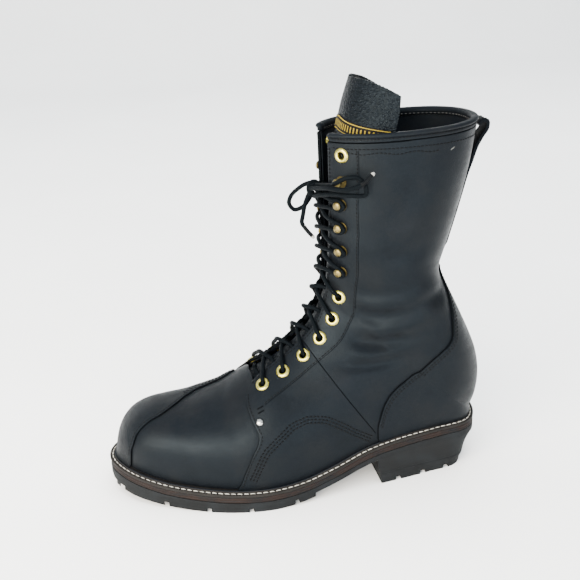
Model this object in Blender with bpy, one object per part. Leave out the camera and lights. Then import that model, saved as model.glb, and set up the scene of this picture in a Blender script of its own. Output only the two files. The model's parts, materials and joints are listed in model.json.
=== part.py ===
"""Lineman boot for the left foot: a laced ten-inch work boot on a welted, lugged sole.

Lengths in the tables are millimetres. The boot's own axes are forward from the back of the welt,
across towards the inner side of the foot, and up from the floor. place() turns them into the part's
frame: toe along -X, outer side along -Y, standing on Z = 0.
"""
import math

import bmesh
import bpy
import numpy as np
from mathutils import Matrix, Vector

MM = 0.001
OUTER, INNER = -1, 1

WALL = 2.4              # leather of the upper
QUARTER_STEP = 1.2      # the quarters lie over the vamp
QUARTER_FROM = 9.6      # section at which they start
SEAT = 0.3              # gap between curved pieces that touch
ARC_POINTS = 72         # points that measure one half of a section
UPPER_COLUMNS = 9

WELT_OUT = 6.8          # the welt's edge beyond the feather line
WELT_IN = -5.5
WELT_THICK = 3.3
MIDSOLE_THICK = 4.6
LUG_DEEP = 3.2
HEEL_BREAST = (96.0, 91.5)      # forward place of the heel's front face, top and bottom
HEEL_BACK = 19.0        # section whose two ends meet at the back of the heel

# The feather line, where upper and sole meet, seen from above.
FEATHER = (
    # place, forward, across
    ("heel back", 5.0, 0.0),
    ("heel corner, outer", 14.0, -28.6),
    ("heel, outer", 44.0, -35.8),
    ("waist, outer", 112.5, -45.5),
    ("ball, outer", 196.0, -55.3),
    ("little toe", 249.0, -41.0),
    ("toe corner, outer", 294.6, -14.5),
    ("toe tip", 308.7, 11.9),
    ("toe corner, inner", 296.5, 38.5),
    ("big toe", 252.0, 47.0),
    ("ball, inner", 217.0, 48.1),
    ("waist, inner", 127.0, 27.5),
    ("heel, inner", 44.0, 34.6),
    ("heel corner, inner", 14.0, 28.0),
)

# Height of the feather line and of the sole's underside above the lugs.
LEVELS = (
    # forward, feather, underside
    (-12.0, 44.6, 30.0),
    (39.0, 43.5, 30.0),
    (73.0, 41.6, 29.2),
    (103.0, 36.7, 23.4),
    (132.0, 26.8, 13.4),
    (161.0, 19.6, 6.2),
    (182.0, 17.6, 3.6),
    (200.0, 17.3, 3.2),
    (235.0, 18.2, 3.4),
    (269.0, 20.9, 5.4),
    (297.0, 25.8, 8.8),
    (318.0, 29.6, 11.6),
)

# Sections of the upper from the toe tip to the collar. Each runs up from its foot on the feather
# line, or from the boot's back once the two ends have met there, to its top on the ridge.
SECTIONS = (
    # foot (forward, up), top (forward, across, up), half widths (outer, inner), widest at, fullness
    (308.7, 27.9, 308.7, 11.9, 27.9, 0.0, 0.0, 0.42, 2.0),
    (307.6, 27.7, 307.6, 11.9, 34.0, 0.0, 0.0, 0.42, 2.0),
    (304.0, 27.1, 304.0, 11.8, 48.0, 0.0, 0.0, 0.42, 2.1),
    (298.0, 26.0, 298.0, 11.6, 58.2, 0.0, 0.0, 0.41, 2.2),
    (289.0, 24.3, 289.0, 11.2, 66.0, 0.0, 0.0, 0.40, 2.3),
    (277.0, 22.2, 277.0, 10.6, 71.0, 0.0, 26.0, 0.38, 2.35),
    (262.0, 20.2, 262.0, 9.6, 73.8, 0.0, 34.5, 0.36, 2.35),
    (244.0, 18.7, 244.0, 8.2, 76.4, 0.0, 41.2, 0.34, 2.3),
    (226.0, 17.8, 226.0, 6.4, 81.0, 0.0, 46.2, 0.32, 2.2),
    (210.0, 17.4, 210.0, 4.8, 87.4, 50.0, 48.8, 0.31, 2.1),
    (195.0, 17.3, 197.0, 3.4, 95.2, 54.0, 48.0, 0.30, 2.0),
    (175.0, 18.0, 185.0, 2.4, 103.6, 56.0, 46.5, 0.30, 1.95),
    (150.0, 21.9, 173.5, 1.6, 110.8, 52.5, 44.5, 0.31, 1.9),
    (122.0, 30.3, 162.0, 1.0, 119.6, 49.0, 42.5, 0.33, 1.9),
    (92.0, 38.9, 152.0, 0.6, 129.6, 45.5, 41.0, 0.35, 1.9),
    (62.0, 42.4, 144.0, 0.3, 140.0, 42.5, 40.0, 0.37, 1.95),
    (36.0, 43.6, 138.5, 0.0, 149.6, 40.5, 39.5, 0.38, 2.0),
    (17.0, 44.0, 135.0, 0.0, 158.0, 39.5, 39.0, 0.38, 2.0),
    (8.0, 44.2, 132.4, 0.0, 165.0, 39.0, 39.0, 0.38, 2.0),
    (5.0, 44.3, 130.8, 0.0, 171.0, 39.0, 39.0, 0.38, 2.05),
    (-1.0, 58.0, 129.7, 0.0, 177.0, 39.0, 39.0, 0.39, 2.05),
    (-3.0, 76.0, 128.9, 0.0, 183.0, 39.5, 39.5, 0.41, 2.1),
    (0.0, 96.0, 128.3, 0.0, 189.0, 40.0, 40.0, 0.43, 2.1),
    (8.0, 118.0, 127.8, 0.0, 195.5, 40.5, 40.5, 0.45, 2.1),
    (19.5, 143.0, 127.5, 0.0, 202.5, 41.0, 41.0, 0.46, 2.1),
    (30.0, 165.0, 127.3, 0.0, 210.0, 41.5, 41.5, 0.47, 2.1),
    (33.0, 178.0, 127.2, 0.0, 219.0, 42.0, 42.0, 0.48, 2.15),
    (28.5, 194.0, 127.0, 0.0, 229.0, 42.5, 42.5, 0.49, 2.15),
    (22.0, 214.0, 127.0, 0.0, 240.0, 43.0, 43.0, 0.50, 2.2),
    (15.5, 237.0, 127.0, 0.0, 253.0, 43.8, 43.8, 0.50, 2.2),
    (9.5, 262.0, 127.2, 0.0, 268.0, 44.5, 44.5, 0.50, 2.2),
    (6.0, 282.0, 127.5, 0.0, 282.0, 45.0, 45.0, 0.50, 2.2),
    (4.0, 298.0, 128.0, 0.0, 293.0, 45.5, 45.5, 0.50, 2.2),
    (2.5, 313.0, 127.0, 0.0, 313.0, 45.5, 45.5, 0.50, 2.2),
    (1.0, 335.0, 124.0, 0.0, 336.0, 45.5, 45.5, 0.50, 2.2),
)


def curve(table):
    """A smooth curve through a table's rows, whose first column is the key."""
    table = np.asarray(table, float)
    key, value = table[:, 0], table[:, 1:]
    slope = np.gradient(value, key, axis=0)

    def at(where):
        where = np.clip(np.asarray(where, float), key[0], key[-1])
        i = np.clip(np.searchsorted(key, where, side="right") - 1, 0, len(key) - 2)
        span = (key[i + 1] - key[i])[..., None]
        t = (where - key[i])[..., None] / span
        start, end = value[i], value[i + 1]
        return (start * (1 + 2 * t) * (1 - t) ** 2 + end * (3 - 2 * t) * t ** 2
                + span * (slope[i] * t * (1 - t) ** 2 - slope[i + 1] * t ** 2 * (1 - t)))

    return at


levels = curve(LEVELS)
sections = curve([(i, *row) for i, row in enumerate(SECTIONS)])


def feather_height(forward):
    return levels(forward)[..., 0]


class Outline:
    """The feather line, grown outwards by a distance, with its two sides told apart."""

    def __init__(self, grow=0.0, points=1600):
        places = np.array([row[1:] for row in FEATHER], float)
        around = np.vstack([places[-3:], places, places[:4]])
        steps = np.linalg.norm(np.diff(around, axis=0), axis=1) ** 0.5
        key = np.concatenate([[0.0], np.cumsum(steps)])
        line = curve(np.column_stack([key, around]))(
            np.linspace(key[3], key[3 + len(places)], points, endpoint=False))
        along = np.roll(line, -1, axis=0) - np.roll(line, 1, axis=0)
        along /= np.linalg.norm(along, axis=1)[:, None]
        line = line + grow * np.column_stack([along[:, 1], -along[:, 0]])
        line = np.roll(line, -int(line[:, 0].argmin()), axis=0)
        tip = int(line[:, 0].argmax())
        self.back, self.tip = line[0], line[tip]
        self.sides = {OUTER: line[:tip + 1], INNER: np.vstack([line[tip:], line[:1]])[::-1]}

    def across(self, forward, side):
        """Distance across at a place along the foot, on one side."""
        line = self.sides[side]
        return np.interp(forward, np.maximum.accumulate(line[:, 0]), line[:, 1])


feather = Outline()


def half_sections(s, side):
    """Dense half sections from foot to ridge: an array of (section, point, 3)."""
    s = np.atleast_1d(np.asarray(s, float))
    row = sections(s)
    foot_u, foot_z, top_u, top_y, top_z, outer, inner, ride, full = row.T
    wide = outer if side == OUTER else inner
    open_foot = s < HEEL_BACK
    foot_y = np.where(open_foot, feather.across(foot_u, side), top_y)
    foot_z = np.where(open_foot, feather_height(foot_u), foot_z)
    start = np.abs(foot_y - top_y)
    tuck = 1.6 * np.clip((top_z - foot_z) / 30.0, 0.0, 1.0)
    wide = np.maximum(wide, start + tuck)
    # The lower arc swells from the foot to the widest place; the upper arc closes over the top.
    t = np.linspace(0.0, 1.0, ARC_POINTS // 2)[None, :]
    straight = np.clip(start / wide, 0.0, 1.0)[:, None]
    swell_angle = t * math.pi / 2
    low_q = 1.0 - np.cos(swell_angle)
    power = 0.46 + 0.54 * straight ** 2
    low_y = start[:, None] + (wide - start)[:, None] * (1.0 - (1.0 - low_q) ** 2.4) ** power
    full = full[:, None]
    high_q = np.sin(swell_angle[:, 1:]) ** (2.0 / full)
    high_y = wide[:, None] * np.abs(np.cos(swell_angle[:, 1:])) ** (2.0 / full)
    high_y[:, -1] = 0.0
    ride = ride[:, None]
    q = np.concatenate([low_q * ride, ride + (1.0 - ride) * high_q], axis=1)
    y = np.concatenate([low_y, high_y], axis=1)
    forward = foot_u[:, None] + q * (top_u - foot_u)[:, None]
    up = foot_z[:, None] + q * (top_z - foot_z)[:, None]
    return np.stack([forward, top_y[:, None] + side * y, up], axis=-1)


def surface(s, a, side):
    """Points on the upper: s counts sections from the toe, a runs from foot (0) to ridge (1)."""
    s, a = np.broadcast_arrays(np.asarray(s, float), np.asarray(a, float))
    arcs = half_sections(s.ravel(), side)
    steps = np.linalg.norm(np.diff(arcs, axis=1), axis=2)
    run = np.concatenate([np.zeros((len(arcs), 1)), np.cumsum(steps, axis=1)], axis=1)
    want = a.ravel() * run[:, -1]
    i = np.clip((run < want[:, None]).sum(axis=1) - 1, 0, arcs.shape[1] - 2)
    pick = np.arange(len(arcs))
    length = np.maximum(run[pick, i + 1] - run[pick, i], 1e-9)
    t = ((want - run[pick, i]) / length)[:, None]
    points = arcs[pick, i] * (1 - t) + arcs[pick, i + 1] * t
    return points.reshape(*s.shape, 3)


def half_length(s, side):
    """Length of the half section from foot to ridge."""
    arcs = half_sections(s, side)
    return np.linalg.norm(np.diff(arcs, axis=1), axis=2).sum(axis=1)


# The throat: how far its edge lies from the ridge, on each side.
THROAT_EDGE = curve((
    # section, distance
    (9.9, 0.0), (10.15, 9.0), (10.5, 14.0), (11.2, 16.0), (12.7, 14.4), (15.0, 15.0),
    (18.0, 13.6), (21.0, 13.4), (24.0, 15.2), (28.0, 17.0), (32.0, 18.5),
))

# Fastenings of the outer facing from the toe up; the inner facing mirrors them.
FASTENINGS = (
    # kind, section, distance from the ridge
    ("eyelet", 10.9, 29.0), ("eyelet", 12.25, 27.0), ("eyelet", 13.6, 26.4), ("eyelet", 14.95, 26.6),
    ("eyelet", 16.7, 27.0), ("eyelet", 19.5, 27.0),
    ("hook", 22.7, 28.4), ("hook", 24.9, 29.8), ("hook", 26.8, 30.4), ("hook", 28.3, 30.5),
    ("hook", 29.5, 30.5), ("eyelet", 30.85, 31.4),
)
LACED = 10              # fastenings, counted from the toe, that hold the lace
LACE = 3.5              # lace diameter

# Heel counter: how far it reaches up the half section, by section.
COUNTER_EDGE = curve((
    (13.95, 0.02), (14.15, 0.10), (14.56, 0.205), (15.3, 0.316), (15.9, 0.361), (16.7, 0.389),
    (18.0, 0.42), (19.16, 0.442), (20.2, 0.41), (21.1, 0.365), (21.8, 0.319), (22.5, 0.273),
    (23.1, 0.244), (24.2, 0.165), (24.7, 0.11), (25.3, 0.07), (26.0, 0.055),
))

# Inner-side patch over the toe: its edge on the outer half and on the inner half of the sections.
PATCH_OUTER = curve((
    (2.9, 0.02), (3.11, 0.124), (3.21, 0.287), (3.52, 0.447), (3.85, 0.561), (4.2, 0.625),
    (4.86, 0.702), (5.5, 0.758), (6.04, 0.837), (6.55, 0.941), (6.8, 0.985),
))
PATCH_INNER = curve(((6.8, 0.985), (7.05, 0.962), (7.55, 0.905), (8.0, 0.883), (8.8, 0.862), (9.5, 0.85)))

# Tongue: half width along the section and depth below the upper's outside, by section.
TONGUE = curve((
    # section, half width, depth
    (9.0, 21.0, 3.2), (10.2, 27.0, 4.2), (12.0, 31.0, 4.6), (19.0, 35.0, 4.8), (25.0, 44.0, 6.0),
    (28.0, 52.0, 7.6), (30.0, 62.0, 10.0), (32.0, 74.0, 14.0), (33.0, 77.0, 18.0), (34.0, 76.0, 22.5),
))
TONGUE_THICK = 2.4
TONGUE_CURL = 0.62      # share of the lean that is gone at the tongue's sides
TONGUE_ENDS = (9.2, 34.0, 0.6)      # first section, last at the middle, drop of the top at its corners


def skin(s):
    """How far the quarters stand proud of the sections' surface."""
    return QUARTER_STEP * (np.asarray(s, float) > QUARTER_FROM)


def on_upper(s, ridge, side, lift):
    """A point at a distance from the ridge, lifted off the surface, and the outward direction there."""
    def spot(ds=0.0, along=0.0):
        length = half_length(s + ds, side)[0]
        return surface(s + ds, 1.0 - (ridge + along) / length, side)

    out = np.cross(spot(ds=0.15) - spot(ds=-0.15), spot(along=0.5) - spot(along=-0.5)) * -side
    out /= np.linalg.norm(out)
    return spot() + out * lift, out


def place(points):
    """Boot axes in millimetres to the part's frame in metres."""
    points = np.asarray(points, float)
    return np.stack([-points[..., 0], points[..., 1], points[..., 2]], axis=-1) * MM


def plain_material(name, colour, roughness, metallic=0.0):
    material = bpy.data.materials.new(name)
    material.use_nodes = True
    shader = material.node_tree.nodes["Principled BSDF"]
    shader.inputs["Base Color"].default_value = (*colour, 1.0)
    shader.inputs["Roughness"].default_value = roughness
    shader.inputs["Metallic"].default_value = metallic
    material.diffuse_color = (*colour, 1.0)
    return material


FINISHES = {
    # name: colour (linear), roughness, metallic
    "leather": ((0.022, 0.023, 0.026), 0.45, 0.0),
    "grained_leather": ((0.020, 0.020, 0.022), 0.6, 0.0),
    "welt_leather": ((0.030, 0.027, 0.025), 0.55, 0.0),
    "midsole": ((0.060, 0.033, 0.026), 0.7, 0.0),
    "rubber": ((0.030, 0.029, 0.029), 0.75, 0.0),
    "insole": ((0.16, 0.11, 0.07), 0.8, 0.0),
    "brass": ((0.72, 0.55, 0.24), 0.3, 1.0),
    "aged_brass": ((0.42, 0.29, 0.16), 0.4, 1.0),
    "nickel": ((0.75, 0.74, 0.70), 0.3, 1.0),
    "lace": ((0.012, 0.012, 0.013), 0.85, 0.0),
}
materials = {}


def add(name, mesh, finish, smooth=True):
    """Put a mesh into the scene as a named piece with its finish."""
    if finish not in materials:
        materials[finish] = plain_material(finish, *FINISHES[finish])
    mesh.materials.clear()
    mesh.materials.append(materials[finish])
    if smooth:
        mesh.shade_smooth()
        mesh.set_sharp_from_angle(angle=math.radians(35))
    piece = bpy.data.objects.new(name, mesh)
    bpy.context.collection.objects.link(piece)
    return piece


def mesh_of(points, faces):
    """A mesh in the part's frame with all faces turned outwards."""
    mesh = bpy.data.meshes.new("shape")
    mesh.from_pydata([tuple(p) for p in place(points)], [], [tuple(f) for f in faces])
    work = bmesh.new()
    work.from_mesh(mesh)
    bmesh.ops.recalc_face_normals(work, faces=work.faces)
    work.to_mesh(mesh)
    work.free()
    mesh.validate()
    return mesh


def outward(s, a, side):
    """Outward directions of the upper's surface."""
    s, a = np.broadcast_arrays(np.asarray(s, float), np.asarray(a, float))
    along = surface(np.minimum(s + 0.1, 34.0), a, side) - surface(np.maximum(s - 0.1, 0.02), a, side)
    over = surface(s, np.minimum(a + 0.012, 1.0), side) - surface(s, np.maximum(a - 0.012, 0.0), side)
    normal = np.cross(along, over) * side
    return normal / np.maximum(np.linalg.norm(normal, axis=-1, keepdims=True), 1e-9)


def weld(grids):
    """Join grids of (points, normals, section) into one sheet, merging points that coincide."""
    points, normals, where, index, faces = [], [], [], {}, []
    for grid, normal, section, flip in grids:
        rows, columns = grid.shape[:2]
        number = np.empty((rows, columns), int)
        for i in range(rows):
            for j in range(columns):
                key = tuple(np.round(grid[i, j], 3))
                if key not in index:
                    index[key] = len(points)
                    points.append(grid[i, j])
                    normals.append(np.zeros(3))
                    where.append(section[i, j])
                number[i, j] = index[key]
                normals[index[key]] = normals[index[key]] + normal[i, j]
        for i in range(rows - 1):
            for j in range(columns - 1):
                low, high = number[i, j:j + 2], number[i + 1, j:j + 2]
                for face in ([low[0], high[0], high[1]], [low[0], high[1], low[1]]):
                    if len(set(face)) == 3:
                        faces.append(face[::-1] if flip else face)
    normals = np.array(normals)
    normals /= np.maximum(np.linalg.norm(normals, axis=1)[:, None], 1e-9)
    return np.array(points), normals, np.array(where), faces


def thicken(points, normals, faces, out, deep):
    """Close a sheet into a solid between two offsets along its normals."""
    out = np.broadcast_to(np.asarray(out, float), len(points))[:, None]
    deep = np.broadcast_to(np.asarray(deep, float), len(points))[:, None]
    count = len(points)
    edges = {(face[k - 1], v) for face in faces for k, v in enumerate(face)}
    rims = [(a, b, b + count, a + count) for a, b in edges if (b, a) not in edges]
    solid = np.vstack([points + normals * out, points + normals * deep])
    back = [[v + count for v in face[::-1]] for face in faces]
    return solid, [list(f) for f in faces] + back + [list(r) for r in sorted(rims)]


def sheet(rows, reach):
    """A sheet of the upper's surface on the upper's own columns.

    reach gives the share of the half section at which the sheet starts and ends, by section and side.
    """
    grids = []
    for side in (OUTER, INNER):
        near, far = reach(rows, side)
        share = np.linspace(0.0, 1.0, UPPER_COLUMNS + 1)[None, :]
        a = np.clip(share * throat_share(rows, side)[:, None], near[:, None], far[:, None])
        s = np.repeat(rows[:, None], UPPER_COLUMNS + 1, axis=1)
        normal = outward(s, a, side)
        # Along the feather line the wall's edge stays level, just clear of the sole.
        level = (a < 1e-6) & (s <= HEEL_BACK)
        normal[level, 2] = 0.0
        normal[s < 0.1] = (1.0, 0.0, 0.0)
        points = surface(s, a, side)
        points[level, 2] += SEAT
        grids.append((points, normal, s, side == OUTER))
    return weld(grids)


UPPER_ROWS = np.array([
    0, 0.5, 1.1, 2, 3, 4, 5, 6, 7, 8, 9, 9.55, 9.65, 9.9, 10.2, 10.6, 11.2, 11.8, 12.4, 13,
    13.5, 14.0, 14.5, 15.2, 16, 17, 18, 18.6, 19, 19.6, 21, 22, 23, 24, 25, 26, 27, 29, 31.7])


def throat_share(s, side):
    """The share of the half section that lies below the throat's edge."""
    gap = np.where(s <= 9.9, 0.0, THROAT_EDGE(s)[..., 0])
    return 1.0 - gap / np.maximum(half_length(s, side), 1.0)


def build_upper():
    """The hollow upper, open at collar, throat and foot, with the quarters as a step in its wall."""
    points, normals, where, faces = sheet(UPPER_ROWS, lambda s, side: (np.zeros_like(s), np.ones_like(s)))
    piece = add("upper", mesh_of(*thicken(points, normals, faces, skin(where), -WALL)), "leather")
    cutter = bpy.data.meshes.new("eyelet_holes")
    work = bmesh.new()
    for kind, s, ridge in FASTENINGS:
        if kind != "eyelet":
            continue
        for side in (OUTER, INNER):
            spot, out = on_upper(s, ridge, side, -0.6)
            bmesh.ops.create_cone(work, cap_ends=True, segments=8, radius1=3.7 * MM, radius2=3.7 * MM,
                                  depth=9.0 * MM, matrix=stand(spot, out))
    work.to_mesh(cutter)
    work.free()
    holes = bpy.data.objects.new("eyelet_holes", cutter)
    holes.hide_render = True
    holes.display_type = "WIRE"
    bpy.context.collection.objects.link(holes)
    cut = piece.modifiers.new("eyelet holes", "BOOLEAN")
    cut.object = holes
    cut.operation = "DIFFERENCE"
    cut.solver = "EXACT"
    return piece


def stand(spot, out):
    """The matrix that stands a turned piece on the upper, its axis along the outward direction."""
    direction = Vector(place(out)) / MM
    turn = direction.to_track_quat("Z", "Y").to_matrix().to_4x4()
    return Matrix.Translation(Vector(place(spot))) @ turn


def build_overlays():
    """Counter, backstay and toe patch, each between two offsets of the upper's surface."""
    rows = UPPER_ROWS[(UPPER_ROWS >= 14.5) & (UPPER_ROWS <= 26.0)]
    rows = np.sort(np.append(rows, (14.2, 19.2)))
    points, normals, where, faces = sheet(
        rows, lambda s, side: (np.where(s <= HEEL_BACK, 0.03, 0.0), COUNTER_EDGE(s)[..., 0]))
    proud = skin(where)
    add("counter", mesh_of(*thicken(points, normals, faces, proud + 2.0, proud + 0.8)), "leather")
    rows = np.concatenate([[26.15], UPPER_ROWS[UPPER_ROWS > 26.5]])
    points, normals, where, faces = sheet(
        rows, lambda s, side: (np.zeros_like(s), 8.5 / half_length(s, side)))
    proud = skin(where)
    add("backstay", mesh_of(*thicken(points, normals, faces, proud + 1.7, proud + 0.4)), "leather")

    def patch_reach(s, side):
        if side == OUTER:
            return np.where(s < 2.9, 0.02, PATCH_OUTER(s)[..., 0]), np.ones_like(s)
        return np.full_like(s, 0.02), np.where(s < 6.8, 1.0, PATCH_INNER(s)[..., 0])

    rows = np.array([0.5, 1.1, 2.0, 3.0, 3.15, 3.4, 4.0, 5.0, 6.0, 6.8, 7.4, 8.0, 9.0, 9.5])
    points, normals, where, faces = sheet(rows, patch_reach)
    add("toe_patch", mesh_of(*thicken(points, normals, faces, 1.7, 0.5)), "leather")


def build_tongue():
    """The tongue under the throat, standing above the collar."""
    first, last, drop = TONGUE_ENDS
    share = np.linspace(0.0, 1.0, 6)
    rise = np.concatenate([np.linspace(0.0, 0.9, 12), [0.95, 1.0]])
    grids = []
    for side in (OUTER, INNER):
        rows = first + rise[:, None] * (last - drop * share[None, :] ** 3 - first)
        width, deep = np.moveaxis(TONGUE(rows), -1, 0)
        length = half_length(rows.ravel(), side).reshape(rows.shape)
        a = 1.0 - share[None, :] * width / length
        # The tongue leans away from the throat and less so from the sides.
        lean = np.clip(deep - 4.8, 0.0, None) * share[None, :] ** 2 * TONGUE_CURL
        normal = outward(rows, a, side)
        normal[:, 0] = outward(rows[:, 0], 1.0, OUTER) * (1.0, 0.0, 1.0)
        grids.append((surface(rows, a, side) - normal * (deep - lean)[..., None], normal, rows,
                      side == INNER))
    points, normals, where, faces = weld(grids)
    mesh = mesh_of(*thicken(points, normals, faces, 0.0, -TONGUE_THICK))
    add("tongue", mesh, "grained_leather")


def loop_stations(outline, stations):
    """The outline's points at stations from its back to its tip: outer side, then inner side."""
    return {side: np.column_stack([stations, outline.across(stations, side)]) for side in (OUTER, INNER)}


def ring(grow, height, stations):
    """One closed loop of the sole: grown feather line at a height for each place along the foot."""
    outline = Outline(grow)
    ends = np.array([outline.back[0], outline.tip[0]])
    forward = ends[0] + stations * (ends[1] - ends[0])
    sides = loop_stations(outline, forward)
    sides[OUTER][0] = sides[INNER][0] = outline.back
    sides[OUTER][-1] = sides[INNER][-1] = outline.tip
    flat = np.vstack([sides[OUTER], sides[INNER][-2:0:-1]])
    return np.column_stack([flat, height(flat[:, 0])])


def rounded(count):
    """Stations from 0 to 1, closer together at the round ends."""
    return (1.0 - np.cos(np.linspace(0.0, math.pi, count))) / 2


SOLE_STATIONS = np.unique(np.round(np.concatenate([
    rounded(25)[:4], np.linspace(0.055, 0.935, 17), rounded(25)[-4:]]), 4))


def loft(rings, closed=False):
    """Side faces between loops of equal length; closed joins the last loop to the first."""
    count = len(rings[0])
    points = np.vstack(rings)
    faces = []
    pairs = [(k, k + 1) for k in range(len(rings) - 1)]
    if closed:
        pairs.append((len(rings) - 1, 0))
    for low, high in pairs:
        for i in range(count):
            j = (i + 1) % count
            faces.append([low * count + i, low * count + j, high * count + j, high * count + i])
    return points, faces


def cap(count, start):
    """Strips across a loop that runs up its outer side and back down its inner side."""
    faces = []
    half = count // 2
    for i in range(half):
        left, right = (i, i + 1), ((count - i) % count, count - i - 1)
        face = [start + left[0], start + left[1], start + right[1], start + right[0]]
        face = [v for k, v in enumerate(face) if v != face[k - 1]]
        faces.append(face)
    return faces


def below_feather(drop):
    return lambda forward: feather_height(forward) - drop


def underside(forward):
    return levels(forward)[..., 1]


def tread(forward):
    """Height of the lugs' faces: flat on the floor under the ball, rising to the toe and the waist."""
    return np.maximum(underside(forward) - LUG_DEEP - 0.3, 0.0)


def build_welted_layers():
    """Welt, midsole and insole."""
    st = SOLE_STATIONS
    deep = SEAT + WELT_THICK
    welt = [ring(WELT_OUT, below_feather(deep), st), ring(WELT_OUT, below_feather(SEAT + 1.1), st),
            ring(1.2, below_feather(SEAT), st), ring(WELT_IN, below_feather(SEAT), st),
            ring(WELT_IN, below_feather(deep), st)]
    add("welt", mesh_of(*loft(welt, closed=True)), "welt_leather")
    top = deep + SEAT
    core = WELT_IN - 0.5
    midsole = [ring(WELT_OUT - 0.6, below_feather(top + MIDSOLE_THICK), st),
               ring(WELT_OUT - 0.6, below_feather(top), st),
               ring(core, below_feather(top), st), ring(core, below_feather(SEAT), st)]
    points, faces = loft(midsole)
    count = len(midsole[0])
    add("midsole", mesh_of(points, faces + cap(count, 0) + cap(count, 3 * count)), "midsole")
    insole = [ring(-WALL - 2.0, below_feather(0.0), st), ring(-WALL - 2.0, below_feather(-3.6), st)]
    points, faces = loft(insole)
    count = len(insole[0])
    add("insole", mesh_of(points, faces + cap(count, 0) + cap(count, count)), "insole")


LUGS = (
    # forward places of each row of lugs, from the outsole's back
    (153.0, 167.0), (170.5, 205.0), (208.5, 238.6), (242.0, 272.0), (275.4, 307.0), (310.4, 313.4),
)
OUTSOLE_STATIONS = np.array([
    # forward places across the heel and waist, then each lug's ends and some between them
    0.0, 2.0, 7.0, 16.0, 30.0, 46.0, 62.0, 78.0, 92.0, 104.0, 116.0, 128.0, 138.0, 146.0,
    153.0, 167.0, 170.5, 187.0, 205.0, 208.5, 223.0, 238.6, 242.0, 257.0, 272.0, 275.4, 285.0, 296.0, 307.0,
    310.4, 313.4, 315.0])
LUG_ACROSS = (0.0, 0.26, 0.31, 0.69, 0.74, 1.0)


def add_lugs(points, faces, grid, is_lug, floor):
    """Close a sole's underside with a grid of cells, and let the lug cells down to the floor."""
    mesh = mesh_of(points, faces)
    work = bmesh.new()
    work.from_mesh(mesh)
    fixed = list(work.verts)
    places = place(points)
    known = {tuple(np.round(p * 1e6).astype(int)): i for i, p in enumerate(places)}
    made = {}

    def vertex(p):
        key = tuple(np.round(place(p) * 1e6).astype(int))
        if key in known:
            return fixed[known[key]]
        if key not in made:
            made[key] = work.verts.new(Vector(place(p)))
        return made[key]

    lugs = []
    rows, columns = grid.shape[:2]
    corners = [[vertex(grid[i, j]) for j in range(columns)] for i in range(rows)]
    for i in range(rows - 1):
        for j in range(columns - 1):
            face = [corners[i][j], corners[i + 1][j], corners[i + 1][j + 1], corners[i][j + 1]]
            face = [v for k, v in enumerate(face) if v is not face[k - 1]]
            if len(face) < 3:
                continue
            new = work.faces.new(face)
            if is_lug(i, j):
                lugs.append(new)
    grown = bmesh.ops.extrude_face_region(work, geom=lugs)
    for item in grown["geom"]:
        if isinstance(item, bmesh.types.BMVert):
            item.co.z = floor(-item.co.x / MM) * MM
    bmesh.ops.delete(work, geom=lugs, context="FACES_ONLY")
    bmesh.ops.recalc_face_normals(work, faces=work.faces)
    work.to_mesh(mesh)
    work.free()
    return mesh


def build_outsole():
    """Rubber outsole through arch and toe spring, with lugs under the forefoot."""
    outline = Outline(WELT_OUT - 0.2)
    ends = outline.back[0], outline.tip[0]
    forward = np.clip(OUTSOLE_STATIONS + ends[0], *ends)
    forward[-1] = ends[1]
    stations = (forward - ends[0]) / (ends[1] - ends[0])
    top = 2 * SEAT + WELT_THICK + MIDSOLE_THICK + SEAT
    low = ring(WELT_OUT - 0.2, underside, stations)
    high = ring(WELT_OUT - 0.2, below_feather(top), stations)
    points, faces = loft([low, high])
    count = len(low)
    half = count // 2
    outer = low[:half + 1]
    inner = np.vstack([low[:1], low[:half - 1:-1]])
    share = np.array(LUG_ACROSS)[None, :, None]
    grid = outer[:, None] * (1 - share) + inner[:, None] * share
    middle = (OUTSOLE_STATIONS[:-1] + OUTSOLE_STATIONS[1:]) / 2
    in_row = [any(start < place_at < end for start, end in LUGS) for place_at in middle]
    lug = lambda i, j: in_row[i] and j % 2 == 0
    mesh = add_lugs(points, faces + cap(count, count), grid, lug, tread)
    add("outsole", mesh, "rubber")


HEEL_RINGS = (
    # height share from bottom to top, back drawn in, width share
    (1.0, 0.0, 0.99), (0.8, 3.4, 0.972), (0.55, 6.6, 0.955), (0.4, 7.6, 0.948), (0.25, 8.8, 0.945),
    (0.1, 11.6, 0.943),
)
HEEL_STATIONS = np.array([0.0, 0.012, 0.05, 0.12, 0.235, 0.295, 0.5, 0.56, 0.78, 0.84, 1.0])
HEEL_ACROSS = (0.0, 0.44, 0.56, 1.0)


def worn_heel(forward):
    """Height of the heel's lugs: flat on the floor, and worn off along the lower back edge."""
    return 2.2 * np.clip((20.0 - forward) / 9.8, 0.0, 1.0) ** 2


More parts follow.
